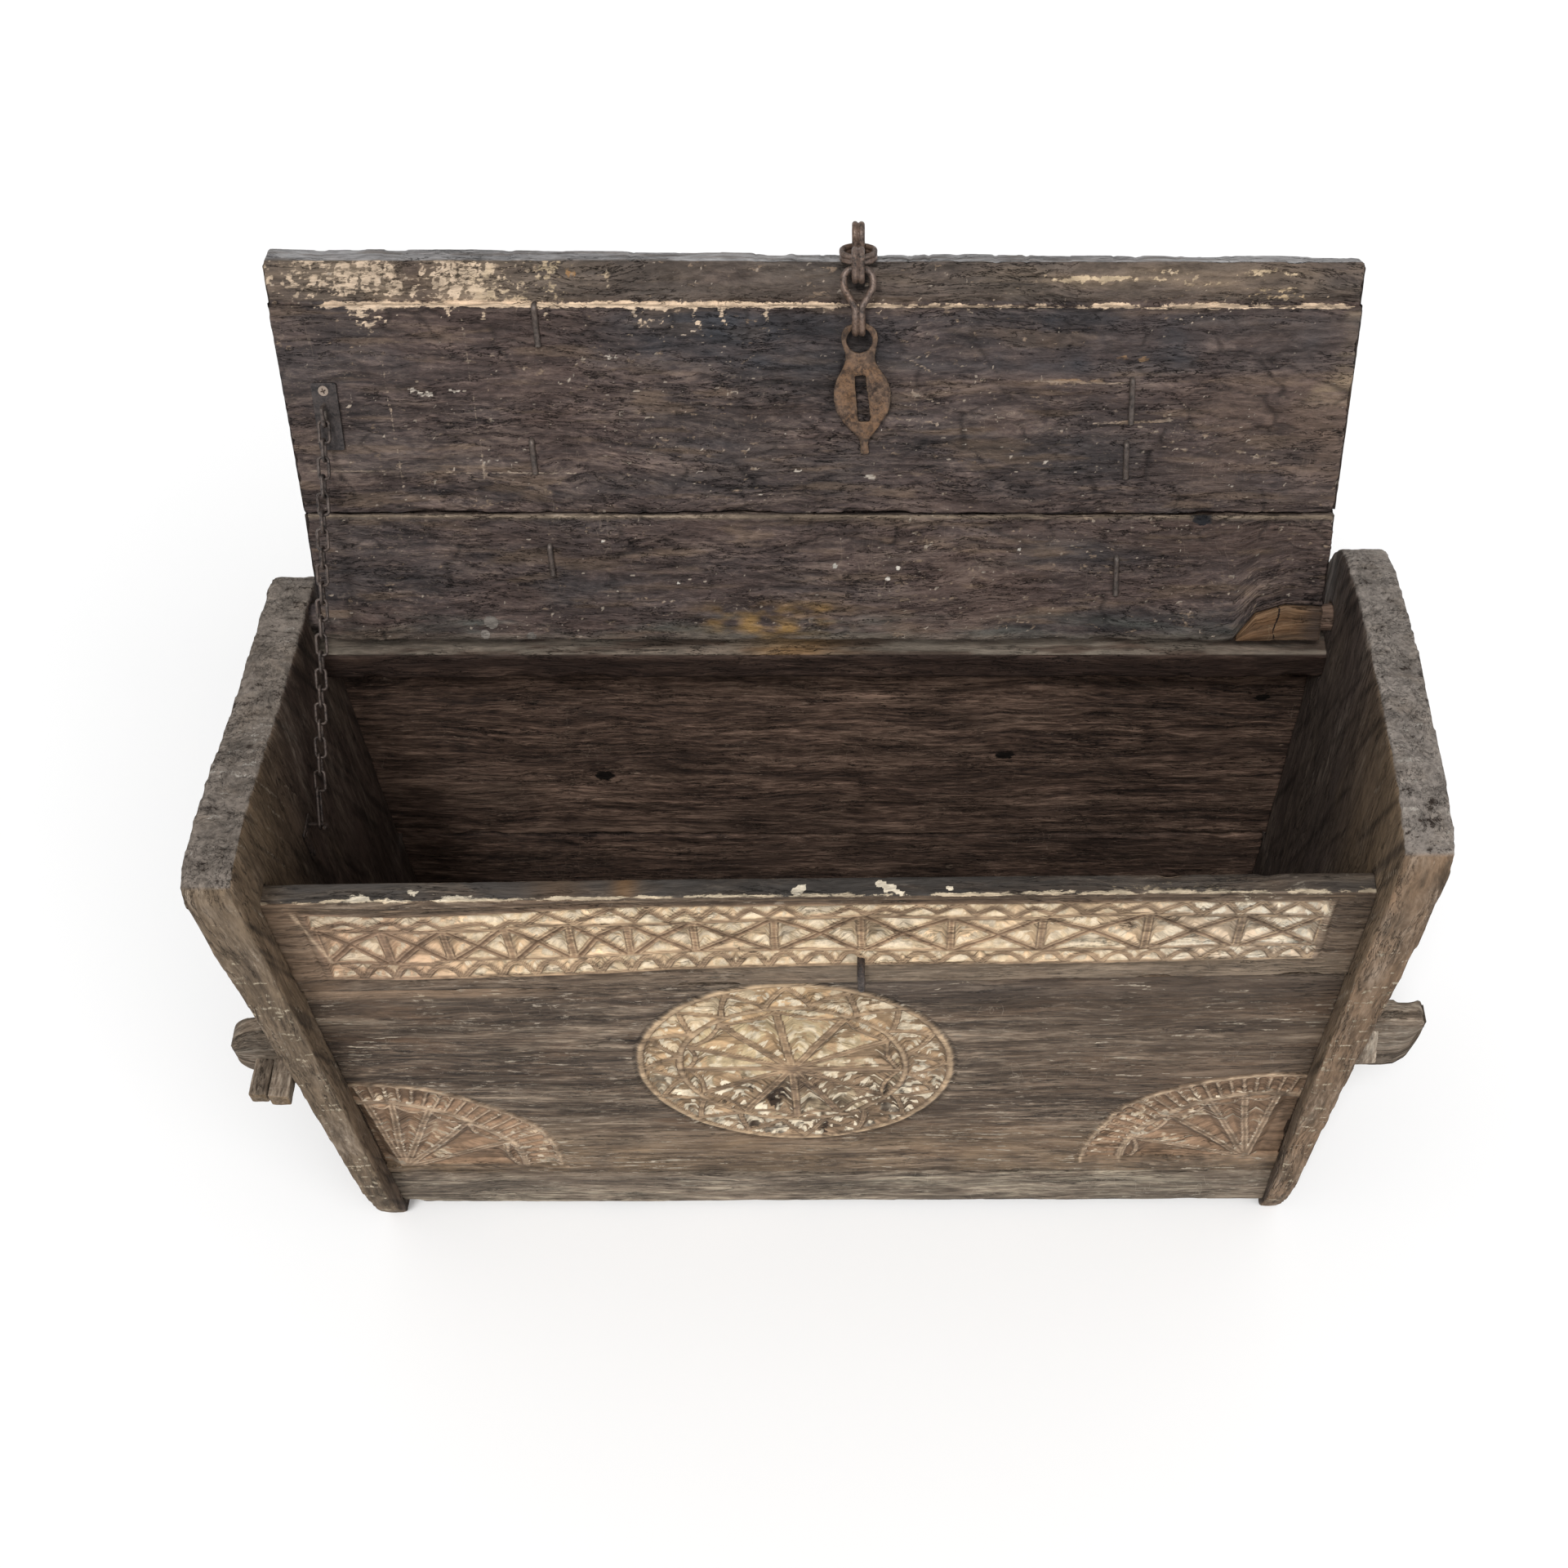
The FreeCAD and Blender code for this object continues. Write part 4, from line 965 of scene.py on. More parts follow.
def upper_paint(info):
    P, n = info["P"], info["n"]
    x, z = P[..., 0], photo_z(P[..., 0], P[..., 2])
    y = P[..., 1]
    pit, up = info["pit"], info["up"]
    m = face_mask(info)
    t, dn = poly(x, T_LINE), poly(x, D_LINE)
    n1 = fbm(v3(x / 30, z / 30, 3.0), 3, 61)
    n2 = fbm(v3(x / 9, z / 9, 3.0), 3, 62)
    left, right = step(-290, -400, x), step(230, 400, x)
    mid = 1 - left - right
    fill = step(0.2, 1.6, pit)
    band = m * step(-4, 0, z - dn) * step(3, -1, z - t) * step(-474, -467, x) * step(471, 465, x)
    # the whole band is rubbed paler than the board, its pits most of all
    ridge = blend((left, mid, right), (tone(138, 112, 91), tone(158, 129, 102), tone(148, 127, 107)))
    hollow = blend((left, mid, right), (tone(184, 154, 126), tone(218, 190, 155), tone(198, 178, 154)))
    # painted shading: facets turned up are lightened and facets turned down darkened, with random tone on top
    shade = np.clip(1 + 0.62 * up * fill + 0.32 * n1 + 0.40 * n2, 0.4, 1.6)[..., None]
    col = (ridge * (1 - fill[..., None]) + hollow * fill[..., None]) * shade
    info["tint"] = rgba(x.shape, col, np.clip(band * 0.92, 0, 1))
    # dark at the foot of each ridge: dirt, with painted shade that deepens on downward-facing slopes; arrises rubbed
    # paler, the scribed middles of the ridges dark
    crease_dirt_and_shade = band * np.exp(-((pit - 0.9) / 0.75) ** 2)
    info["tint"] = over(info["tint"], tone(80, 60, 46), crease_dirt_and_shade * (0.68 - 0.5 * up + 0.5 * n2))
    rubbed = band * np.exp(-((pit + 0.7) / 0.7) ** 2)
    info["tint"] = over(info["tint"], blend((left, 1 - left), (tone(178, 148, 120), tone(212, 182, 146))), rubbed * (0.70 + 0.8 * n2))
    info["tint"] = over(info["tint"], tone(98, 74, 56), band * info["groove"] * 0.85)
    between_lines = m * np.exp(-((z - t - 7.1) / 1.2) ** 2) * (np.abs(x) < 485)
    info["tint"] = over(info["tint"], tone(184, 156, 126), between_lines * (0.55 + 0.6 * n1))
    # the plain margins: browner at the left end, lighter under the band
    o_left = m * np.exp(-((x + 478 - (610 - z) * 0.22) / 1.7) ** 2) * step(618, 608, z) * step(500, 510, z)
    end = m * (1 - band) * step(-440, -480, x)
    info["tint"] = over(info["tint"], tone(132, 108, 87), end * 0.7)
    info["tint"] = over(info["tint"], tone(116, 97, 80), m * (1 - band) * (1 - end) * 0.4)
    info["tint"] = over(info["tint"], tone(196, 170, 142), o_left * 0.8)
    under = m * step(0, -6, z - dn - 3) * step(-420, -300, x)
    info["tint"] = over(info["tint"], tone(140, 123, 104), under * (0.55 + 0.4 * n1) * step(-250, 0, x))
    o = rgba(x.shape, CREAM, 0.0)
    cream = blend((left, mid, right), (tone(212, 188, 158), CREAM, tone(236, 226, 206)))
    # pale filling in the pits, heavier on upward-facing slopes as a painted highlight
    o = over(o, cream, fill * band * (0.16 + 0.16 * mid + 0.34 * up + 0.70 * n1 + 0.45 * n2))
    n5 = fbm(v3(x / 5.5, z / 4.0, 33.0), 3, 60)
    # white flecks in the deeper pits, partly a painted highlight that favours upward-facing slopes
    o = over(o, tone(250, 232, 204), band * step(1.4, 3.2, pit) * step(0.02, 0.24, 0.55 * n5 + 0.45 * n1 + 0.16 * up) * (0.85 - 0.35 * left))
    # dark in the depths here and there, with painted shade on the downward-facing slopes
    o = over(o, tone(84, 64, 48), fill * band * step(2.0, 4.5, pit) * (0.10 - 0.35 * up + 0.5 * fbm(v3(x / 16, z / 16, 9.0), 2, 63)))
    # wear on the right: pale ridges
    worn_right = step(330, 400, x) * step(474, 466, x) * step(1.5, -0.5, pit) * m
    o = over(o, tone(206, 192, 168), worn_right * (0.25 + 0.6 * n1) * (z > poly(x, B_LINE)))
    # chipped pale arris along the top of the face, black paint and stains on the top
    front = n[..., 1] < -0.25
    top_line = poly(x, PHOTO_TOP)
    arris = np.exp(-((z - top_line + 1.2) / 2.6) ** 2) * (0.42 + 0.9 * fbm(v3(x / 24, z / 60, 2.0), 3, 66))
    o = over(o, tone(214, 192, 162), arris * front * (1 - 0.5 * step(100, 300, x)))
    top = step(0.45, 0.7, n[..., 2])
    n3 = fbm(v3(x / 60, y / 9, 2.0), 3, 69)
    black = top * step(-512, -470, x) * (1.0 - 0.35 * step(120, 300, x) + 0.3 * n3)
    info["tint"] = over(info["tint"], tone(72, 67, 63), black * 0.92)
    stain = top * np.exp(-((x + 175) / 12) ** 2) * 0.8 + top * np.exp(-((x + 235) / 26) ** 2) * 0.35
    info["tint"] = over(info["tint"], tone(112, 84, 56), stain)
    edge = np.exp(-((y - 2.0) / 2.6) ** 2) * top
    o = over(o, tone(216, 198, 170), edge * step(-470, -430, x) * (0.52 + 0.9 * fbm(v3(x / 18, y / 5, 7.0), 3, 70)))
    chips = top * step(-440, -410, x) * step(-290, -340, x) * step(14, 4, y) * (0.18 + 1.1 * fbm(v3(x / 12, y / 5, 2.0), 3, 67))
    o = over(o, PALE, chips)
    for sx, sy, r in ((-20, 7, 5.5), (-15, 11, 4.0), (55, 13, 5.0), (64, 9, 6.0), (72, 5, 4.0), (118, 9, 3.0), (-366, 9, 5.0)):
        o = over(o, PALE, top * 1.2 * step(r + 1.5, r - 1, np.hypot(x - sx, (y - sy) * 1.5) + 4.5 * fbm(v3(x / 5, y / 4, 2.0), 3, 58)))
    o = over(o, tone(150, 134, 112), top * step(110, 300, x) * (0.18 + 0.6 * n3))
    return o


lp, led = loop2([(0, 0), (0, 160), (22.2, 160), (22.8, 148), (26, 141), (29.6, 110), (30, 0)],
                [1.2, 3.4, 2.0, 1.5, 2.0, 2.0, 1.5], [1.25, 1.5, 6.0, 6.0, 6.0, 6.0, 6.0])
ob = sweep("front_upper", np.arange(-509, 509.1, 1.3), lp, led, upper_shape, None, upper_disp, upper_paint, seed=3,
           mat=m_front)
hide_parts("front_upper_board")
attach(ob, "chest")


# lower board, with the rosette and the two fans
def lower_shape(P):
    x, w = P[..., 0], P[..., 2]
    zb, zt = 77.5 + 0 * x, jz(x)
    return np.stack([x, P[..., 1], zb + w / 414.0 * (zt - zb)], -1)


def lower_disp(info):
    P = info["P"]
    x, z = P[..., 0], P[..., 2]
    m = face_mask(info)
    xj = x + 1.2 * fbm(v3(x / 28, z / 28, 3.0), 2, 71)
    zj = z + 1.2 * fbm(v3(x / 28, z / 28, 9.0), 2, 72)
    h1, p1, rim, r2, t1 = rosette(xj, zj)
    h2, p2, ra, ria, roa = fan(xj, zj, -483.0, 94.0, 1, LFAN)
    h3, p3, rb, rib, rob = fan(xj, zj, 466.0, 114.0, -1, RFAN)
    pit = np.maximum(np.maximum(p1, p2), p3)
    info["up"] = faces_up(h1 + h2 + h3, z)
    info.update(pit=np.where(m > 0.5, pit, -9), rim=rim, r2=r2, t1=t1, ra=ra, ria=ria, roa=roa, rb=rb, rib=rib, rob=rob)
    h = h1 + h2 + h3
    h = h + np.where(pit > 0, 0.3 * fbm(v3(x / 3.6, z / 3.6, 1.0), 2, 74), 0)
    d = worn(info, 5, wave=0.7, dish=0.2, grain=0.3, chip=1.2)
    hole = step(4.0, 1.5, np.hypot(x - 37, z - 503)) * m
    dirt = 0.20 * np.exp(-((pit - 0.3) / 0.8) ** 2)
    dirt = dirt + 0.5 * np.exp(-((rim - 166) / 2.6) ** 2) + 0.45 * step(8, 1, jz(x) - z) * (x > -60)
    dirt = dirt + 0.35 * step(96, 84, z)
    return d + m * h - 2 * hole, np.clip(dirt * m, 0, 1)


def lower_paint(info):
    P, n = info["P"], info["n"]
    x, z = P[..., 0], P[..., 2]
    m = face_mask(info)
    pit, rim, r2, t1, up = info["pit"], info["rim"], info["r2"], info["t1"], info["up"]
    n1 = fbm(v3(x / 26, z / 26, 5.0), 3, 81)
    n2 = fbm(v3(x / 8, z / 8, 2.0), 3, 82)
    fill = step(0.2, 1.6, pit)
    a = 0.5 + 0.5 * np.cos(np.radians(t1 - 120))           # 1 at the upper left of the rosette, 0 at the lower right
    low = step(10, -70, z - 326)
    # the field of the board: paler at the foot and beside the fans, dark at the top
    tint = rgba(x.shape, tone(148, 124, 98), 0.62 * step(225, 120, z) * (0.8 + 0.8 * n1))
    tint = over(tint, tone(82, 72, 66), 0.5 * step(46, 20, jz(x) - z) * step(-60, 60, x))
    tint = over(tint, tone(92, 76, 62), 0.55 * step(150, 260, x) * step(200, 270, z))
    disc = m * step(164, 161.5, rim)
    # painted shading: slopes turned up are lightened and slopes turned down darkened, with random tone on top
    shade = np.clip(1 + 0.85 * up * fill + 0.32 * n1 + 0.42 * n2, 0.4, 1.7)[..., None]
    ridge, hollow = blend((a, 1 - a), (tone(164, 136, 106), tone(140, 116, 94))), blend(
        (a, 1 - a), (tone(184, 154, 118), tone(134, 112, 90)))
    tint = over(tint, (ridge * (1 - fill[..., None]) + hollow * fill[..., None]) * shade, disc * 0.92)
    rims = np.exp(-((rim - 160.8) / 2.7) ** 2) + 0.85 * np.exp(-((r2 - 116.5) / 2.0) ** 2)
    # dark at the foot of each ridge: dirt, with painted shade that deepens on downward-facing slopes
    crease_dirt_and_shade = disc * np.exp(-((pit - 1.0) / 0.8) ** 2)
    tint = over(tint, tone(72, 54, 42), crease_dirt_and_shade * (0.72 - 0.5 * up + 0.6 * n2))
    rubbed = disc * np.exp(-((pit + 0.7) / 0.75) ** 2)
    tint = over(tint, tone(210, 180, 144), rubbed * (0.52 + 0.9 * n2))
    tint = over(tint, tone(208, 180, 146), rims * m * (0.72 + 0.9 * n2))
    o = rgba(x.shape, CREAM, 0.0)
    # gold and cream caught in the ring's triangles, most at the upper left, and more on upward-facing slopes as a
    # painted highlight
    ring = ((rim < 160) & (r2 > 117)) * fill
    o = over(o, blend((a, 1 - a), (CREAM, PALE)), ring * (0.05 + 0.26 * a + 0.26 * up + 0.85 * n1 + 0.35 * n2))
    # cream in the petals, more on upward-facing slopes as a painted highlight
    petal = (r2 < 115) * fill
    o = over(o, blend((a, 1 - a), (tone(224, 200, 158), tone(206, 184, 152))), petal * (0.10 + 0.20 * a + 0.34 * up + 0.8 * n1 + 0.4 * n2 - 0.10 * low))
    # dark where the wood has torn out, in the lower half
    hole = fbm(v3((x + 33) / 13, (z - 326) / 17, 12.0), 3, 84)
    o = over(o, tone(66, 52, 42), disc * fill * (low * 0.5 + 0.12) * (0.35 + 1.6 * hole))
    # white flecks in the hollows, partly a painted highlight that favours upward-facing slopes
    white = fbm(v3(x / 7, z / 4.5, 22.0), 3, 85)
    o = over(o, tone(250, 234, 206), disc * fill * step(0.16, 0.34, white + 0.12 * up) * (0.55 + 0.4 * low))
    for r, ri, ro in ((info["ra"], info["ria"], info["roa"]), (info["rb"], info["rib"], info["rob"])):
        near = m * (z > 100) * step(ro + 5, ro, r)
        # painted shading on the fans: slopes turned up lightened, turned down darkened
        tint = over(tint, blend((1 - fill, fill), (tone(138, 115, 93), tone(138, 111, 88))) * shade, near * 0.88)
        arcs = np.exp(-((r - ri - 1.5 * n2) / 1.3) ** 2) + np.exp(-((r - ro - 1.5 * n2) / 1.6) ** 2)
        # dark at the foot of each ridge: dirt, with painted shade that deepens on downward-facing slopes
        tint = over(tint, tone(78, 59, 45), near * np.exp(-((pit - 0.9) / 0.75) ** 2) * (0.68 - 0.5 * up + 0.5 * n2))
        tint = over(tint, tone(200, 172, 144), near * np.exp(-((pit + 0.7) / 1.05) ** 2) * (0.80 + 1.0 * n2))
        tint = over(tint, tone(206, 180, 150), near * arcs * (0.62 + 1.1 * n2))
        # cream in the flutes, more on upward-facing slopes as a painted highlight
        o = over(o, tone(212, 188, 158), near * fill * (-0.02 + 0.36 * up + 0.7 * n1 + 0.4 * n2))
        thin = fbm(v3(x / 6.5, z / 2.4, 41.0), 3, 87)
        o = over(o, tone(234, 216, 190), near * step(2.2, 0.4, np.abs(pit)) * step(0.20, 0.36, thin) * 0.75)
    infan = (z > 98) * ((info["ra"] < info["roa"] + 6) | (info["rb"] < info["rob"] + 6))
    dk = m * (1 - disc) * (1 - infan) * step(0.14, 0.34, fbm(v3(x / 70, z / 2.4, 13.0), 3, 89))
    tint = over(tint, tone(74, 61, 50), dk * 0.55)
    scr = fbm(v3(x / 34 + 0.2 * z, z / 1.7, 3.0), 3, 88) + 0.10 * step(230, 130, z)
    scr = m * (1 - disc) * step(0.28, 0.44, scr) * step(-0.15, 0.25, n1 + 0.15 * step(230, 130, z))
    o = over(o, tone(188, 174, 154), scr * 0.6)
    # pale strip under the joint at the left
    strip = step(22, 10, jz(x) - z) * step(-240, -330, x)
    tint = over(tint, tone(140, 116, 94), strip * 0.7)
    o = over(o, tone(206, 184, 156), strip * (0.05 + 0.8 * n1))
    o[..., 3] *= m
    tint[..., 3] *= m
    info["tint"] = tint
    return o


lp, led = front_loop(2, [(2, 0), (2, 414), (30, 414), (30, 0)], [1.5, 1.0, 1.5, 1.5], 1.5, 8.0)
ob = sweep("front_lower", np.arange(-509, 509.1, 1.5), lp, led, lower_shape, None, lower_disp, lower_paint, seed=5,
           mat=m_front)
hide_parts("front_lower_board")
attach(ob, "chest")


def tenon(name, xs, top, low, y0, y1, seed, body, node, material):
    t, l = np.array(top, float), np.array(low, float)

    def shape(P):
        x, w = P[..., 0], P[..., 2]
        zt, zb = np.interp(np.abs(x), t[:, 0], t[:, 1]), np.interp(np.abs(x), l[:, 0], l[:, 1])
        return np.stack([x, P[..., 1], zb + w / 90 * (zt - zb)], -1)

    loop, ed = loop2([(y0, 0), (y0, 90), (y1, 90), (y1, 0)], [3, 3, 3, 3], [1.6] * 4)
    d = (lambda i: (worn(i, seed, wave=0.9, dish=0.35, size=(30, 12), grain=0.5, chip=1.6),
                    0.3 + 0.3 * fbm(v3(i["L"][..., 0] / 14, i["L"][..., 2] / 9, 1.0), 2, seed)))
    o = sweep(name, xs, loop, ed, shape, None, d, None, seed=seed, mat=material, end_round=3.0)
    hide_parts(node)
    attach(o, body)
    return o




def round_end(z0, z1, x1, r):
    """Outline of a tenon's edge: level at z0, then round to z1's side with radius r, up to x1."""
    k = np.linspace(0, 1, 9) * math.pi / 2
    return [(505, z0)] + [(x1 - r + r * math.sin(t), z0 + math.copysign(r * (1 - math.cos(t)), z1 - z0)) for t in k]


tenon("tenon_left", -np.arange(505, 605.6, 1.2)[::-1], round_end(389, 350, 605.6, 32), round_end(300, 350, 605.6, 50), 4, 28,
      21, "chest", "front_lower_board", m_wedge)
tr_top = [(505, 412), (598, 411.5), (605.5, 404)]
tr_low = [(505, 318), (576, 318.5), (588, 321.5), (597, 336), (602.5, 378), (605.5, 398)]
tenon("tenon_right", np.arange(505, 605.6, 1.2), tr_top, tr_low, 4, 31, 22, "chest", "front_lower_board", m_wedge)
for sgn, nm in ((-1, "left"), (1, "right")):
    xs = np.arange(505, 599.6, 1.6) * sgn
    tenon("back_tenon_" + nm, xs if sgn > 0 else xs[::-1], [(505, 412), (590, 411.5), (599.5, 400)],
          [(505, 330), (590, 330.5), (599.5, 342)], 348, 372, 23 + sgn, "chest", "back_upper_board", m_inside)


def plain_board(name, node, x0, x1, dx, pts, radii, steps, seed, material, wear=None, paint=None, shape=None, place=None,
                body="chest", dirt=0.15):
    lp, led = loop2(pts, radii, steps)
    wear = wear or {}

    def disp(i):
        L = i["L"]
        dd = dirt + 0.5 * dirt * fbm(v3(L[..., 0] / 60, L[..., 1] / 30, L[..., 2] / 30), 3, seed + 2)
        return worn(i, seed, **wear), np.clip(dd, 0, 1)

    o = sweep(name, np.arange(x0, x1 + 0.01, dx), lp, led, shape, place, disp, paint, seed=seed, mat=material)
    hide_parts(node)
    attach(o, body)
    return o


plain_board("bottom_rail", "front_bottom_rail", -509, 509, 2.2, [(1.5, 0), (1.5, 75.5), (29, 75.5), (29, 0)], [4, 4, 2, 2],
            [1.8, 4, 8, 6], 7, m_rail, dict(wave=1.1, dish=0.3, size=(80, 30), grain=0.75, chip=2.2))


def rail_top_paint(i):
    x, y, n = i["P"][..., 0], i["P"][..., 1], i["n"]
    i["tint"] = rgba(x.shape, tone(136, 125, 112), (n[..., 2] > 0.5) * 0.9)
    i["tint"] = over(i["tint"], tone(84, 66, 56), (n[..., 2] > 0.5) * step(0.1, 0.35, fbm(v3(x / 60, y / 7, 1.0), 3, 91)) * 0.7)
    i["tint"] = over(i["tint"], tone(158, 120, 72), (n[..., 2] > 0.5) * np.exp(-((x + 30) / 45) ** 2) * 0.6)
    # painted shade: the rail's face towards the front, under its top, darkened
    i["tint"] = over(i["tint"], tone(60, 46, 40), (n[..., 1] < -0.5) * 0.85)
    return rgba(x.shape, NEAR_BLACK, 0.0)


plain_board("top_back_rail", "back_top_rail", -509, 509, 2.8, [(305, 584), (305, 620), (377, 620), (377, 584)],
            [4, 5, 4, 3], [2.5, 2.5, 4, 6], 8, m_inside, dict(wave=1.0, dish=0.4, grain=0.5, chip=1.6), rail_top_paint)


def knots(points):
    def paint(i):
        P, n = i["P"], i["n"]
        o = rgba(P.shape[:-1], NEAR_BLACK, 0.0)
        for kx, kz, r in points:
            d = np.hypot((P[..., 0] - kx) / 1.5, P[..., 2] - kz)
            o = over(o, tone(30, 24, 20), np.exp(-(d / r) ** 2) * 1.2)
            o = over(o, tone(84, 66, 56), np.exp(-((d - 1.9 * r) / (0.35 * r)) ** 2) * 0.5)
        return o
    return paint


plain_board("back_board", "back_upper_board", -509, 509, 3.0, [(345, 262), (345, 582.5), (375, 582.5), (375, 262)],
            [2, 2, 2, 2], [3.0, 6, 6, 8], 9, m_inside, dict(wave=1.3, dish=0.7, size=(70, 30), grain=0.5),
            knots([(191, 409, 7), (459, 506, 6), (-252, 373, 8)]))
plain_board("back_board_low", "back_lower_board", -509, 509, 4.0, [(351, 20), (351, 250), (375, 250), (375, 20)],
            [2, 2, 2, 2], [4, 6, 5, 8], 10, m_inside, dict(wave=1.4, dish=0.7, size=(70, 30), grain=0.5))
plain_board("floor_front", "floor_board_front", -509, 509, 3.5, [(30.5, 44), (30.5, 68), (190, 68), (190, 44)],
            [2, 2, 2, 2], [6, 3.5, 6, 8], 11, m_inside, dict(wave=0.7, dish=0.5, size=(70, 30), grain=0.4))
plain_board("floor_back", "floor_board_back", -509, 509, 3.5, [(191.5, 44), (191.5, 68), (350, 68), (350, 44)],
            [2, 2, 2, 2], [6, 3.5, 6, 8], 12, m_inside, dict(wave=0.7, dish=0.5, size=(70, 30), grain=0.4))


# ------------------------------------------------------------------ the lid
def lid_level(x):
    return 10.0 - 7.0 * (x + 492) / 984


def front_plank_shape(P):
    x, a, b = P[..., 0], P[..., 1], P[..., 2]
    lv = lid_level(x)
    far = a > 300.0
    b2 = np.where(b >= 8, 15 - (15 - b) * (15 - lv) / 7, -15 + (b + 15) * (lv + 15) / 23)
    b = np.where(far, b2, b)
    # the front corners are a little rounded, and the plank widens towards its front edge
    e = np.clip(5 - (492 - np.abs(x)), 0, 5)
    a = np.where(far & (a > 318), a - (5 - np.sqrt(np.maximum(25 - e ** 2, 0))) * (a - 318) / 20, a)
    # the front edge is hewn out of square: its outer arris stands further out, most at the left
    t = np.clip((b2 - lv) / (-15 - lv), 0, 1)
    a = np.where(far & (a > 318), a + (3.0 + np.interp(x, [-492, -200, 30, 492], [6.5, 5.0, 2.8, 1.2]) * t) * (a - 318) / 20, a)
    x = x + np.sign(x) * 5.0 * np.clip((a - 109.5) / 228.5, 0, 1) * step(380, 491, np.abs(x))
    return np.stack([x, a, b], -1)


def lid_surface(info, seed):
    L = info["L"]
    x, a, b = L[..., 0], L[..., 1], L[..., 2]
    d = worn(info, seed, wave=0.9, dish=0.75, size=(78, 26), grain=0.55, chip=1.2)
    # torn steps where the adze lifted the grain: each ends in a sharp scalloped edge
    sl = a + 0.16 * x
    q = np.stack([(x + 16 * fbm(v3(x / 60, a / 20, 2.0), 2, seed + 23)) / 70, (sl + 5 * fbm(v3(x / 30, a / 14, 5.0), 2, seed + 24)) / 24], -1)
    b1, b2, tg = cells(q, seed + 25)
    scal = step(0.09, 0.0, b2 - b1) * step(-0.15, 0.2, fbm(v3(x / 90, a / 50, 1.0), 2, seed + 22))
    d = d + 0.9 * tg * step(0.0, 0.12, b2 - b1) * 0.6 - 1.3 * scal
    tear = fbm(v3(x / 34, a / 7, 3.0 + seed), 3, seed + 21)
    d = d - 1.0 * step(0.18, 0.30, tear)
    info["scal"] = scal
    return d, tear


def front_plank_disp(info):
    L = info["L"]
    x, a = L[..., 0], L[..., 1]
    d, tear = lid_surface(info, 13)
    hole = np.exp(-(np.hypot((x - 365) / 1.3, a - 105) / 6) ** 2)
    info["tear"] = tear
    # darker along the torn adze steps (scal) as a painted shadow line; darker on torn grain and beside the rabbet
    dirt = 0.2 * step(0.2, 0.4, tear) + 0.7 * info["scal"] * (a < 300) + 0.5 * np.exp(-((a - 299.8) / 1.6) ** 2)
    dirt = dirt + 0.8 * np.exp(-((a - 109.8) / 1.3) ** 2)
    dirt = dirt * (info["n"][..., 1] < 0.6)
    return d - 4 * hole, np.clip(dirt, 0, 1)


def lid_tint(x, a, seed, inner):
    """Broad colours of the lid's inner face: reddish brown, with bluish and tan areas drawn out along the grain."""
    n1 = fbm(v3(x / 110, a / 34, 4.0), 3, seed)
    n2 = fbm(v3(x / 70, a / 9, 9.0), 4, seed + 1)
    t = rgba(x.shape, tone(90, 73, 67), inner * np.clip(0.15 + 0.9 * n1, 0, 0.6))
    t = over(t, tone(62, 58, 59), inner * np.clip(-0.05 - 1.1 * n1, 0, 0.6))
    return over(t, tone(120, 100, 83), inner * 0.45 * step(0.20, 0.42, n2))


def lid_specks(o, x, a, seed, inner):
    s = fbm(v3(x / 9, a / 3.4, 4.0), 4, seed)
    big = fbm(v3(x / 90, a / 60, 2.0), 2, seed + 1)
    o = over(o, tone(146, 126, 108), inner * step(0.30, 0.50, s + 0.3 * big) * 0.42)
    s2 = fbm(v3(x / 5.0, a / 3.0, 9.0), 3, seed + 2)
    return over(o, tone(176, 162, 148), inner * step(0.54, 0.64, s2 + 0.1 * big) * 0.7)


def strokes(o, x, a, lines, col):
    """Scratches: (x0, a0, x1, a1, half width, strength) each."""
    for x0, a0, x1, a1, wd, al in lines:
        near = (x > min(x0, x1) - 8) & (x < max(x0, x1) + 8) & (a > min(a0, a1) - 8) & (a < max(a0, a1) + 8)
        d = np.full(x.shape, 99.0)
        d[near] = seg(x[near], a[near], x0, a0, x1, a1)
        o = over(o, col, np.exp(-(d / wd) ** 2) * al)
    return o


def blots(o, x, a, spots, col, seed):
    """Small ragged spots: (x, a, half length, half height) each."""
    n = fbm(v3(x / 4, a / 3, 5.0), 3, seed)
    for sx, sa, rx, ra in spots:
        d = np.hypot((x - sx) / (0.8 * rx), (a - sa) / (0.75 * ra)) + 2.2 * n
        o = over(o, col, step(1.05, 0.7, d) * 0.62 * (np.abs(x - sx) < 3 * rx + 4) * (np.abs(a - sa) < 3 * ra + 4))
    return o


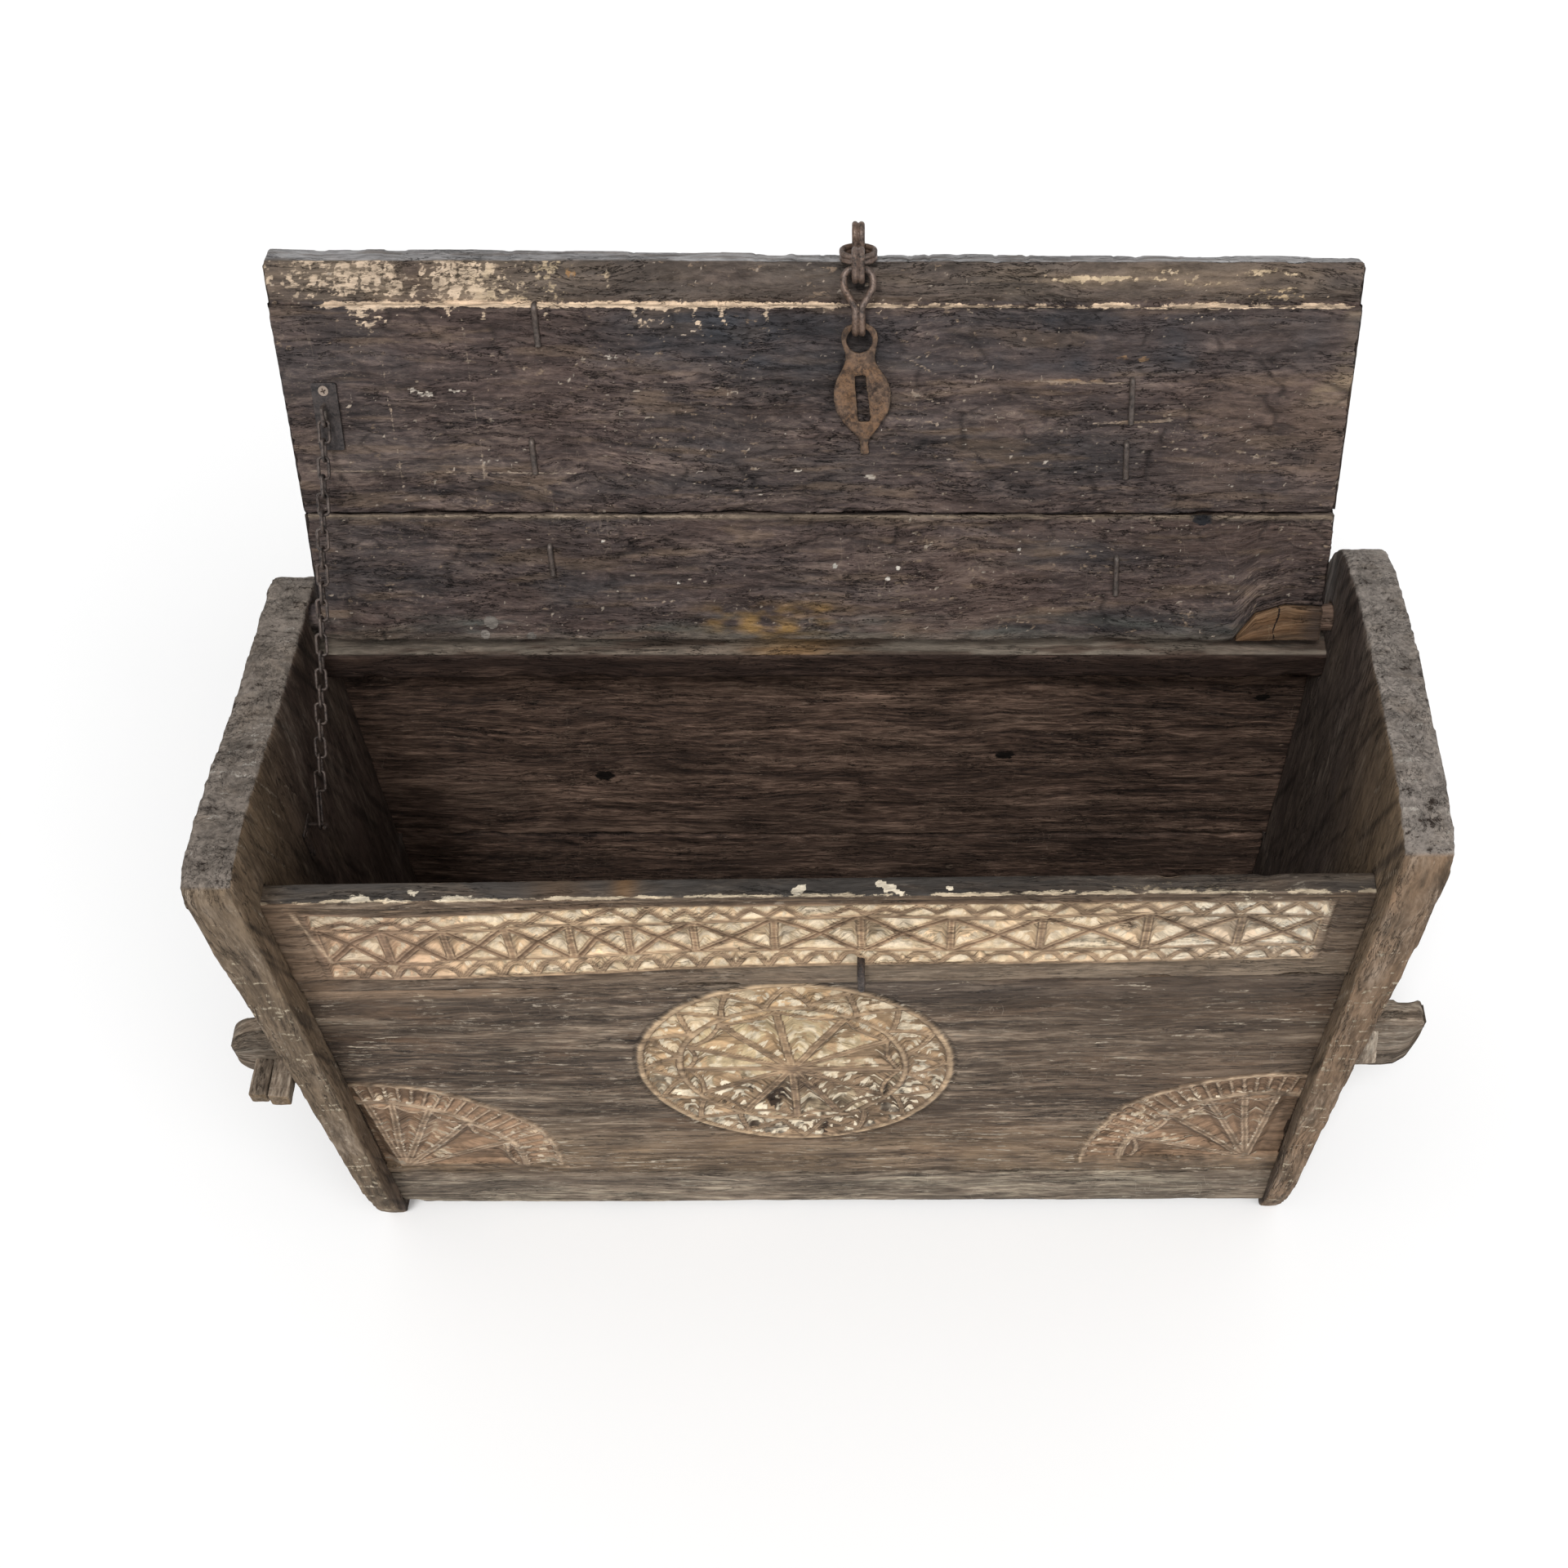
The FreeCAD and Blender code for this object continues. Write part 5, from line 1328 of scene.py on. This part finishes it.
SCORES = [(-399, 256, -393, 128, 1.3, 0.5), (-322, 290, -316, 140, 1.3, 0.55), (-478, 150, -230, 148, 1.0, 0.65),
          (-230, 148, -120, 147, 0.8, 0.3), (-318, 256, -250, 262, 0.9, 0.35), (-60, 255, 20, 252, 0.9, 0.3),
          (70, 262, 118, 236, 1.0, 0.5), (62, 246, 96, 258, 1.0, 0.5), (78, 228, 112, 214, 1.1, 0.55),
          (84, 236, 92, 204, 0.9, 0.5), (60, 232, 74, 210, 0.9, 0.45), (98, 222, 124, 226, 0.9, 0.4),
          (58, 218, 70, 236, 0.8, 0.45), (74, 200, 110, 196, 0.9, 0.4), (-30, 262, -12, 230, 0.9, 0.35),
          (-72, 250, -52, 262, 0.9, 0.4), (150, 250, 156, 222, 0.8, 0.35), (168, 244, 160, 210, 0.8, 0.35),
          (322, 235, 345, 205, 1.1, 0.45), (330, 238, 362, 228, 1.0, 0.4), (336, 222, 380, 214, 1.0, 0.4),
          (392, 170, 430, 158, 1.2, 0.5), (400, 150, 415, 176, 1.0, 0.4), (300, 176, 345, 172, 1.1, 0.5),
          (186, 236, 290, 233, 1.3, 0.55), (255, 196, 330, 199, 1.5, 0.6)]
SPOTS = [(-372, 226, 9, 2.6), (-360, 222, 7, 2.2), (-339, 226, 6, 2.6), (-307, 160, 7, 1.8), (-190, 256, 5, 2.4),
         (-167, 200, 4, 1.8), (-116, 150, 3.5, 1.8), (-158, 130, 3, 1.5), (-70, 163, 3, 1.5), (-22, 150, 3.5, 1.8),
         (-36, 186, 4, 2.4), (-60, 128, 4, 1.5), (45, 145, 4, 2.2), (120, 162, 3.6, 1.8), (136, 176, 2.6, 1.4),
         (60, 190, 3, 1.5), (212, 160, 3, 1.6), (250, 128, 4, 1.6), (388, 136, 3.5, 1.5), (-250, 118, 4, 1.3)]


def front_plank_paint(info):
    L, n = info["L"], info["n"]
    x, a, b = L[..., 0], L[..., 1], L[..., 2]
    inner = ((b > 2.0) & (n[..., 2] > 0.4)).astype(float)
    o = rgba(x.shape, CREAM, 0.0)
    o = lid_specks(o, x, a, 101, inner)
    tint = lid_tint(x, a, 121, inner)
    n1 = fbm(v3(x / 30, a / 30, 2.0), 3, 103)
    n2 = fbm(v3(x / 7, a / 7, 7.0), 3, 104)
    n3 = fbm(v3(x / 60, a / 4, 7.0), 3, 105)
    strip = inner * step(303, 307, a)
    left = step(-215, -320, x)
    fade = np.exp(-((a - 322) / 13) ** 2)
    tint = over(tint, tone(146, 128, 108), strip * left * (0.55 + 0.5 * n1))
    tint = over(tint, tone(98, 88, 79), strip * (1 - left) * 0.55)
    # the lid's front edge face, which gets a painted pale sheen of sky reflection
    edge = step(0.45, 0.7, n[..., 1]) * (a > 310)
    info["edge_face"] = edge
    n4 = fbm(v3(x / 5, a / 3.2, 17.0), 3, 106)
    n6 = fbm(v3(x / 2.6, a / 1.8, 27.0), 3, 107)
    o = over(o, tone(220, 196, 170), strip * left * (0.26 + 0.20 * fade + 0.36 * n2 + 0.38 * n1 + 0.55 * n4 + 0.55 * n6))
    mid = step(-330, -290, x) * step(-150, -240, x)
    o = over(o, tone(204, 182, 150), strip * mid * (0.12 + 0.5 * n2 + 0.4 * n1 + 0.6 * n6))
    tint = over(tint, tone(138, 122, 106), strip * mid * (0.25 + 0.8 * n3))
    far = step(110, 190, x) * step(470, 440, x)
    tint = over(tint, tone(134, 116, 98), strip * far * np.exp(-((a - 324) / 10) ** 2) * (0.62 + 0.9 * n3))
    o = over(o, tone(214, 190, 158), strip * far * np.exp(-((a - 325) / 8) ** 2) * (0.27 + 0.75 * n3 + 0.6 * n6))
    o = over(o, tone(206, 180, 146), strip * step(345, 400, x) * np.exp(-((a - 311) / 5) ** 2) * (0.30 + 0.7 * n3 + 0.4 * n6))
    o = over(o, tone(156, 118, 78), strip * np.exp(-(np.hypot((x + 222) / 1.8, a - 327) / 4) ** 2) * (0.7 + 1.2 * n6))
    # the right end, bare and tan beyond a slanting stain
    tint = over(tint, tone(118, 98, 86), inner * step(300, 430, x) * step(110, 150, a) * step(300, 290, a) * (0.38 + 0.8 * n1))
    bare = inner * step(0, 14, x - 440 - 0.35 * (a - 200) + 20 * n1) * step(200, 235, a) * step(302, 298, a)
    tint = over(tint, tone(146, 126, 104), bare * (0.6 + 0.8 * n3))
    # the pale line along the rabbet, bare wood with a painted highlight where the ledge faces up, and where it ran down
    line = np.exp(-((a - 302.2 - 0.8 * n1) / np.interp(x, [-150, 60], [2.3, 1.5])) ** 2) * step(-470, -430, x) * step(492, 470, x)
    o = over(o, tone(240, 212, 182), (b > 2) * line * (0.95 + 0.35 * n1 + 0.35 * n2 - 0.14 * step(-20, 80, x)))
    for dx, wd, depth in ((-412, 13, 22), (-395, 5, 17), (-245, 5, 20), (-152, 18, 22), (-138, 4, 30), (-110, 3.5, 24),
                          (-85, 3.0, 18), (-45, 3.0, 14), (-330, 4, 12), (-300, 3, 14), (60, 2.5, 9), (140, 3, 8),
                          (260, 3, 10), (350, 4, 9)):
        drip = np.exp(-((x - dx - 2.5 * np.sin(a / 4.0)) / wd) ** 2) * step(302 - depth - 6, 302 - depth + 5, a) * (a < 304)
        o = over(o, tone(236, 210, 182), inner * drip * (0.36 + 0.6 * n2 + 0.7 * n6))
    tint = over(tint, tone(60, 60, 64), inner * step(235, 250, a) * step(303, 290, a) * (0.55 + 0.5 * n1) * step(-230, -150, x))
    # painted shadow of the hasp: dark on the lid behind it and inside its loops
    for sx, sa, rx, ra, al in ((37, 270, 13, 14, 0.85), (37, 322, 10, 11, 0.85), (37, 232, 36, 46, 0.30)):
        tint = over(tint, tone(36, 31, 30), (b > 2) * step(1.25, 0.6, np.hypot((x - sx) / rx, (a - sa) / ra)) * al)
    info["tint"] = tint
    for sx, sa, wx, wa, al in ((279, 257, 9, 4, 1), (298, 255, 7, 3, 1), (240, 236, 38, 3, 0.8), (298, 197, 22, 2.6, 0.8),
                               (-60, 205, 30, 2, 0.4), (120, 160, 24, 2.2, 0.4)):
        d = np.hypot((x - sx) / wx, (a - sa) / wa)
        o = over(o, tone(150, 120, 92), inner * np.exp(-d ** 2) * al * (0.6 + 0.6 * n2))
    o = strokes(o, x, a, SCORES, tone(164, 146, 130))
    o = blots(o, x, a, SPOTS, tone(214, 202, 188), 108)
    o[..., 3] *= np.where((a < 300) & (inner < 0.5), 0, 1) * (1 - info["edge_face"])
    # painted sky reflection: the front edge face tinted pale grey, broken by darker patches
    tint = over(tint, tone(166, 164, 164), info["edge_face"] * (0.84 + 0.3 * n3))
    tint = over(tint, tone(104, 95, 88), info["edge_face"] * step(-0.02, 0.35, fbm(v3(x / 44, b / 2.2, 4.0), 3, 109)) * 0.75)
    info["tint"] = tint
    # the hole's depth painted near black: painted shade
    hole = np.exp(-(np.hypot((x - 365) / 1.3, a - 105) / 7) ** 2)
    return over(o, NEAR_BLACK, inner * hole * 1.3)


def lid_plank(name, node, pts, radii, steps, seed, shape, disp, paint):
    lp, led = loop2(pts, radii, steps)
    o = sweep(name, np.arange(-491.5, 491.6, 1.8), lp, led, shape, lid_place, disp, paint, seed=seed, mat=m_lid)
    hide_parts(node)
    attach(o, "lid")
    return o


lid_plank("lid_front", "lid_front_plank",
          [(109.2, 15), (303, 15), (303, 8), (338, 8), (338, -15), (109.2, -15)], [1.5, 1.2, 1.2, 2.5, 3.5, 2],
          [1.7, 1.6, 1.7, 2.5, 5, 4], 13, front_plank_shape, front_plank_disp, front_plank_paint)


def patch_edge(x):
    return np.interp(x, [404, 424, 452, 492], [-20, 8, 17, 15.5])


def rear_shape(P):
    """The rear plank's lower edge goes round the patch at its right end."""
    x, a = P[..., 0], P[..., 1]
    lo = np.where(x > 404, patch_edge(x) + 0.4, -20.0)
    a2 = 109.5 - (109.5 - a) * (109.5 - lo) / 129.5
    return np.stack([np.where(a > 110.5, x * 0.997, x), a2, P[..., 2]], -1)


def rear_disp(info):
    d, tear = lid_surface(info, 17)
    a = info["L"][..., 1]
    # darker along the torn adze steps (scal) as a painted shadow line; darker on torn grain
    dirt = 0.2 * step(0.2, 0.4, tear) + 0.7 * info["scal"] * (a < 102)
    return d, np.clip(dirt, 0, 1)


def rear_paint(info):
    P, n = info["P"], info["n"]
    x, a, b = P[..., 0], P[..., 1], P[..., 2]
    inner = ((b > 8) & (n[..., 2] > 0.3)).astype(float)
    o = rgba(x.shape, CREAM, 0.0)
    o = lid_specks(o, x, a, 111, inner)
    tint = lid_tint(x, a, 131, inner)
    n1 = fbm(v3(x / 40, a / 12, 2.0), 3, 113)
    n2 = fbm(v3(x / 7, a / 7, 7.0), 3, 114)
    line = np.exp(-((a - 106.6) / 2.4) ** 2)
    tint = over(tint, tone(140, 124, 106), (b > 8) * line * 0.9)
    o = over(o, tone(172, 154, 134), (b > 8) * line * (0.30 + 0.7 * n1))
    gold = inner * step(-150, -70, x) * step(40, -10, x) * step(26, 6, a)
    tint = over(tint, tone(158, 124, 76), gold * (0.40 + 1.3 * fbm(v3(x / 18, a / 7, 2.0), 3, 116)))
    tint = over(tint, tone(96, 96, 90), inner * step(14, -2, a) * (0.15 + 0.9 * fbm(v3(x / 50, a / 8, 6.0), 3, 117)))
    tint = over(tint, tone(104, 94, 84), (b > -4) * step(-9, -15, a) * (0.6 + 0.6 * n1))
    info["tint"] = tint
    for sx, sa, r, al in ((-325, 0, 7, 0.9), (-332, -13, 5, 0.8), (-287, -15, 5, 0.8)):
        d = np.hypot(x - sx, a - sa)
        o = over(o, tone(142, 134, 126), inner * step(r + 1, r - 1, d) * al)
    for sx, sa, r in ((12, 57, 2.6), (73, 55, 2.2), (63, 44, 2.4), (-140, 40, 1.6), (-210, 82, 1.5), (190, 74, 1.6)):
        o = over(o, tone(224, 216, 204), inner * step(r + 0.8, r - 0.8, np.hypot(x - sx, a - sa)))
    # the hole's depth painted near black: painted shade
    hole = np.exp(-(np.hypot((x - 365) / 1.3, a - 105) / 7) ** 2)
    return over(o, NEAR_BLACK, inner * hole * 1.3)


lid_plank("lid_rear", "lid_rear_plank",
          [(-20, 15), (109.5, 15), (109.5, 5), (114, 3), (114, -5), (109.5, -7), (109.5, -15), (-20, -15)],
          [3, 1.5, 0.5, 1, 1, 0.5, 1.5, 3], [2.0, 3, 3, 4, 3, 3, 4, 4], 17, rear_shape, rear_disp, rear_paint)


def patch_shape(P):
    x, w, b = P[..., 0], P[..., 1], P[..., 2]
    hi = patch_edge(x) - 0.4
    return np.stack([x, -20 + w / 36 * (hi + 20), b], -1)


def patch_paint(info):
    P = info["P"]
    x, a = P[..., 0], P[..., 1]
    o = rgba(x.shape, NEAR_BLACK, 0.0)
    n1 = fbm(v3(x / 24, a / 8, 1.0), 3, 192)
    info["tint"] = rgba(x.shape, tone(112, 92, 74), 0.35 + 0.5 * n1)
    info["tint"] = over(info["tint"], tone(86, 72, 64), step(462, 484, x) * 0.8)
    return over(o, tone(40, 30, 24), np.exp(-((x - 445 - 2 * np.sin(a / 6)) / 1.0) ** 2))


lp, led = loop2([(0, 15), (36, 15), (36, -15), (0, -15)], [2, 1.5, 1.5, 2], [1.6, 3, 3, 3])
ob = sweep("lid_patch", np.arange(406.5, 491.6, 1.5), lp, led, patch_shape, lid_place,
           lambda i: (worn(i, 19, wave=0.5, dish=0.2, grain=0.35, chip=1.0), np.full(i["L"].shape[:-1], 0.12)),
           patch_paint, seed=19, mat=m_pale)
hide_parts("lid_repair_patch")
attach(ob, "lid")


def pintle(name, node, sgn, material, seed):
    """A wooden pintle: a worn round end on the plank, in the end board's socket."""
    th = np.linspace(0, 2 * np.pi, 41)[:-1]
    loop = np.stack([13.6 * np.cos(th), 13.6 * np.sin(th)], -1)
    xs = np.arange(481, 525.6, 1.5) * sgn
    xs = xs if sgn > 0 else xs[::-1]

    def disp(i):
        L = i["L"]
        return (0.35 * fbm(v3(L[..., 0] / 14, L[..., 1] / 3.4, L[..., 2] / 3.4), 3, seed) - 0.2,
                0.3 + 0 * L[..., 0])
    o = sweep(name, xs, loop, np.full(len(loop), 9.0), None, lid_place, disp, None, seed=seed, mat=material,
              end_round=1.5)
    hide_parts(node)
    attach(o, "lid")


pintle("pintle_left", "lid_rear_plank", -1, m_lid, 31)
pintle("pintle_right", "lid_repair_patch", 1, m_inside, 32)


# ------------------------------------------------------------------ the end boards
def end_disp(side):
    def disp(i):
        L, n = i["L"], i["n"]
        x, y, z = L[:, 0], L[:, 1], L[:, 2]
        inner = n[:, 0] * side < -0.6
        flat = np.abs(n[:, 0]) > 0.6
        # broad waves, adze dishes across the boards, fibres along z
        d = 1.1 * fbm(v3(x / 120, y / 110, z / 260), 3, 200 + side)
        q = np.stack([y / 26 + 0.25 * z / 26, z / 60], -1)
        b1, _, tg = cells(q, 205 + side)
        d = d - np.where(flat, 0.75 * (1 - np.clip(b1, 0, 1) ** 2 * 1.6) - 0.25 * tg, 0)
        d = d + np.where(flat, 0.45, 0.7) * fbm(v3(x / 5, y / 5, z / 42), 3, 209 + side)
        # front and top edges: saw and axe marks across the grain
        top = n[:, 2] > 0.5
        d = d + top * 0.7 * fbm(v3(x / 26, y / 3.6, z / 30), 3, 212)
        # wrinkled end grain
        d = d + top * 0.9 * fbm(v3(x / 9, y / 4.2, z / 30), 3, 213)
        if side > 0:
            d = d - 8.0 * np.exp(-((y - 214) / 7) ** 2) * step(0.2, 0.7, n[:, 0]) * step(540, 580, z)
        c = fbm(v3(x / 18, y / 18, z / 26), 3, 215)
        d = d - np.clip(i["edge"], 0, 1.5) * (0.5 + 2.4 * np.clip(c, 0, 1))
        return d, np.clip(0.12 + 0.25 * fbm(v3(x / 30, y / 24, z / 60), 3, 217) - i["edge"] * 0.5, 0, 1)
    return disp


def end_paint(side):
    def paint(i):
        L, n = i["L"], i["n"]
        x, y, z = L[:, 0], L[:, 1], L[:, 2]
        n1 = fbm(v3(x / 30, y / 30, z / 50), 3, 220)
        n2 = fbm(v3(x / 16, y / 4.5, z / 14), 4, 221)
        n3 = fbm(v3(x / 12, y / 12, z / 3.2), 3, 222)
        n4 = fbm(v3(x / 40, (y + 0.4 * z) / 9, z / 130), 3, 223)
        o = np.zeros((len(x), 4))
        o[:, :3] = tone(190, 180, 164)
        # dark inside, olive brown towards the front edge
        inner = step(0.4, 0.7, -n[:, 0] * side)
        front = step(190, 20, y + 0.25 * (600 - z))
        t = np.zeros((len(x), 4))
        t[:, :3] = tone(60, 48, 42)
        t = over(t, tone(84, 69, 61) if side < 0 else tone(92, 80, 73), inner * 0.9)
        t = over(t, tone(128, 108, 86), inner * front * (0.85 + 0.3 * n1))
        n7 = fbm(v3(x / 40, (y + 0.4 * z) / 3.5, z / 70), 3, 226)
        o = over(o, tone(150, 134, 116), inner * step(0.24, 0.42, n7) * (0.35 + 0.3 * front))
        t = over(t, tone(36, 30, 27), inner * step(0.10, 0.40, n4) * 0.6)
        outer = step(0.4, 0.7, n[:, 0] * side)
        t = over(t, tone(112, 97, 82), outer * (0.5 + 0.5 * n1))
        # end grain on top: grey, with rubbed and dark places across it
        top = step(0.45, 0.75, n[:, 2])
        base = np.array(tone(132, 122, 113)) if side < 0 else np.array(tone(146, 137, 129))
        t = over(t, base * (1 + 0.35 * n2 + 0.30 * n1)[:, None], top * 0.92)
        o = over(o, tone(182, 174, 164), top * (0.12 + 0.75 * n2 + 0.3 * n1))
        o = over(o, tone(64, 55, 49), top * (0.10 - 0.85 * n2 - 0.2 * n1))
        # the sawn front edge: brown, with pale scratches across it
        fr = step(0.45, 0.75, -n[:, 1])
        t = over(t, tone(126, 108, 88) if side < 0 else tone(138, 113, 90), fr * (0.76 + 0.4 * n1))
        t = over(t, tone(92, 78, 64), fr * step(0.12, 0.4, fbm(v3(x / 5, y / 5, z / 60), 3, 224)) * 0.7)
        o = over(o, tone(186, 172, 148), fr * (0.10 + 0.9 * n3) * step(680, 560, z))
        cut = fbm(v3(x / 22, y / 30, z / 1.9), 3, 225)
        o = over(o, tone(210, 194, 170), fr * step(0.22, 0.42, cut) * step(-0.15, 0.25, n1) * 0.45)
        i["tint"] = t
        return o
    return paint


remade("end_left", ["left_end_board"], 3.0, m_end, "chest", end_disp(-1), end_paint(-1), "z", 41)
remade("end_right", ["right_end_board"], 3.0, m_end, "chest", end_disp(1), end_paint(1), "z", 42)


# ------------------------------------------------------------------ wedges and battens
def wedge_disp(seed, k=1.0):
    def disp(i):
        L = i["L"]
        x, y, z = L[:, 0], L[:, 1], L[:, 2]
        d = k * (0.7 * fbm(v3(x / 22, y / 22, z / 22), 3, seed) + 0.45 * fbm(v3(x / 3.4, y / 18, z / 3.4), 3, seed + 1))
        c = fbm(v3(x / 9, y / 9, z / 9), 3, seed + 2)
        d = d - np.clip(i["edge"], 0, 1.2) * (0.6 + 2.0 * np.clip(c, 0, 1)) - 0.3
        return d, np.clip(0.25 + 0.3 * c - i["edge"], 0, 1)
    return disp


def wedge_paint(i):
    L, n = i["L"], i["n"]
    c = fbm(v3(L[:, 0] / 5, L[:, 1] / 5, L[:, 2] / 5), 3, 261)
    o = np.zeros((len(c), 4))
    o[:, :3] = tone(176, 160, 134)
    i["tint"] = rgba(c.shape, tone(138, 116, 90), np.clip(step(0.5, 0.8, -n[:, 1]) * (0.7 + 0.5 * c), 0, 1))
    return o


for k, nd in enumerate(["tusk_wedge_front_left_outer", "tusk_wedge_front_left_inner", "tusk_wedge_back_left",
                        "tusk_wedge_back_right"]):
    remade("piece_" + nd, [nd], 1.3, m_wedge, "chest", wedge_disp(250 + 5 * k), wedge_paint, "y", 50 + k)
remade("piece_tusk_wedge_front_right", ["tusk_wedge_front_right"], 1.5, m_wedge, "chest", wedge_disp(280), None, "z", 55)
for k, nd in enumerate(["lid_batten_left", "lid_batten_right"]):
    remade("piece_" + nd, [nd], 2.4, m_wedge, "lid", wedge_disp(290 + 4 * k), None, "a", 57 + k)


# ------------------------------------------------------------------ ironwork
def forged(seed, amp=0.22, size=7.0, pit=0.12, grow=0.0):
    def disp(i):
        L = i["L"]
        x, y, z = L[:, 0], L[:, 1], L[:, 2]
        d = amp * fbm(v3(x / size, y / size, z / size), 3, seed) + pit * fbm(v3(x / 2.2, y / 2.2, z / 2.2), 3, seed + 1)
        return d - 0.5 * (amp + pit) + grow, np.clip(-i["edge"], 0, 1)
    return disp


def hasp_disp(i):
    L, n = i["L"], i["n"]
    x, y, z = L[:, 0], L[:, 1], L[:, 2]
    c1, _, tg = cells(np.stack([x / 9, z / 9], -1), 301)
    d = -0.45 * (1 - np.clip(c1, 0, 1) ** 2 * 1.8) + 0.15 * tg + 0.3 * fbm(v3(x / 5, y / 5, z / 5), 3, 302)
    d = d - np.clip(i["edge"], 0, 1) * 1.1
    from mathutils.kdtree import KDTree
    sharp = np.nonzero(np.abs(i["edge"]) > 0.35)[0]
    dist = np.full(len(L), 99.0)
    if len(sharp):
        kd = KDTree(len(sharp))
        for k, q in enumerate(L[sharp]):
            kd.insert(q, k)
        kd.balance()
        dist = np.array([kd.find(q)[2] for q in L])
    c = fbm(v3(x / 6, y / 6, z / 6), 3, 303)
    rim = np.exp(-(dist / 2.2) ** 2) * (0.75 + 1.2 * c)
    return d * 0.8, np.clip(0.8 * rim + 0.7 * step(0.02, 0.4, c), 0, 1)


IRON = [("hasp_plate", 0.85, m_hasp, "hasp_plate", hasp_disp), ("hasp_ring", 0.6, m_links, "hasp_ring", forged(310, grow=0.4)),
        ("hasp_double_link", 0.6, m_links, "hasp_double_link", forged(312, grow=0.4)),
        ("hasp_teardrop_link", 0.6, m_links, "hasp_teardrop_link", forged(314, grow=0.65)),
        ("lid_hasp_staple", 0.6, m_links, "lid", forged(316, grow=0.35)), ("front_hasp_staple", 0.8, m_iron, "chest", forged(318, grow=1.0)),
        ("lid_clinched_nails_left", 0.9, m_chain, "lid", forged(320, grow=0.9)),
        ("lid_clinched_nails_right", 0.9, m_chain, "lid", forged(322, grow=0.9)),
        ("stay_hook", 0.6, m_iron, "chest", forged(324, 0.12)), ("stay_hook_plate", 0.9, m_iron, "chest", forged(326, 0.15)),
        ("stay_hook_nails", 0.7, m_iron, "chest", forged(328, 0.12))]
for k, (nd, vox, mt, body, dp) in enumerate(IRON):
    remade("iron_" + nd, [nd], vox, mt, body, dp, None, "x", 70 + k, smooth=1)

for nd, mt in (("stay_chain_upper_links", m_chain), ("stay_chain_bend_link", m_chain), ("stay_chain_lower_links", m_chain),
               ("stay_chain_end_link", m_chain), ("stay_plate", m_plate), ("stay_plate_screw", m_links),
               ("stay_plate_eye", m_chain)):
    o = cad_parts[nd]
    for s in o.material_slots:
        s.material = mt

# ------------------------------------------------------------------ stage, lights, camera
th, psi, rho = math.radians(56.40), math.radians(1.56), math.radians(1.18)
fwd = Vector((math.sin(psi) * math.cos(th), math.cos(psi) * math.cos(th), -math.sin(th)))
right = Vector((math.cos(psi), -math.sin(psi), 0))
up = right.cross(fwd)
r2 = right * math.cos(rho) + up * math.sin(rho)
u2 = -right * math.sin(rho) + up * math.cos(rho)
cd = bpy.data.cameras.new("view")
cd.lens, cd.sensor_width = 44.29, 36.0
cd.shift_x, cd.shift_y = -0.0831, 0.0819
cam = bpy.data.objects.new("view", cd)
cam.matrix_world = Matrix(((r2.x, u2.x, -fwd.x, 0.0599), (r2.y, u2.y, -fwd.y, -1.2078), (r2.z, u2.z, -fwd.z, 2.0900),
                           (0, 0, 0, 1)))
bpy.context.scene.collection.objects.link(cam)
bpy.context.scene.camera = cam

floor_mesh = bpy.data.meshes.new("floor")
floor_mesh.from_pydata([(-40, -40, 0), (40, -40, 0), (40, 40, 0), (-40, 40, 0)], [], [(0, 1, 2, 3)])
floor = bpy.data.objects.new("floor", floor_mesh)
bpy.context.scene.collection.objects.link(floor)
fm = bpy.data.materials.new("floor_pale")
fm.use_nodes = True
fb = fm.node_tree.nodes["Principled BSDF"]
fb.inputs["Base Color"].default_value = (0.93, 0.93, 0.93, 1)
fb.inputs["Roughness"].default_value = 0.9
floor_mesh.materials.append(fm)

world = bpy.data.worlds.new("soft")
world.use_nodes = True
world.node_tree.nodes["Background"].inputs[0].default_value = (1.0, 1.0, 1.0, 1)
world.node_tree.nodes["Background"].inputs[1].default_value = 0.52
bpy.context.scene.world = world


def sun(name, azimuth, height, strength, soft, col=(1, 1, 1)):
    """A broad soft light from a direction: azimuth 0 is the front, 90 the right."""
    ld = bpy.data.lights.new(name, "SUN")
    ld.energy, ld.angle, ld.color = strength, math.radians(soft), col
    lo = bpy.data.objects.new(name, ld)
    az, el = math.radians(azimuth), math.radians(height)
    lo.location = (3 * math.sin(az) * math.cos(el), -3 * math.cos(az) * math.cos(el), 3 * math.sin(el))
    lo.rotation_euler = (-lo.location).to_track_quat("-Z", "Y").to_euler()
    bpy.context.scene.collection.objects.link(lo)


sun("key", -18, 58, 1.75, 14)
sun("fill", 38, 42, 0.75, 40)
bpy.context.scene.view_settings.view_transform = "Standard"
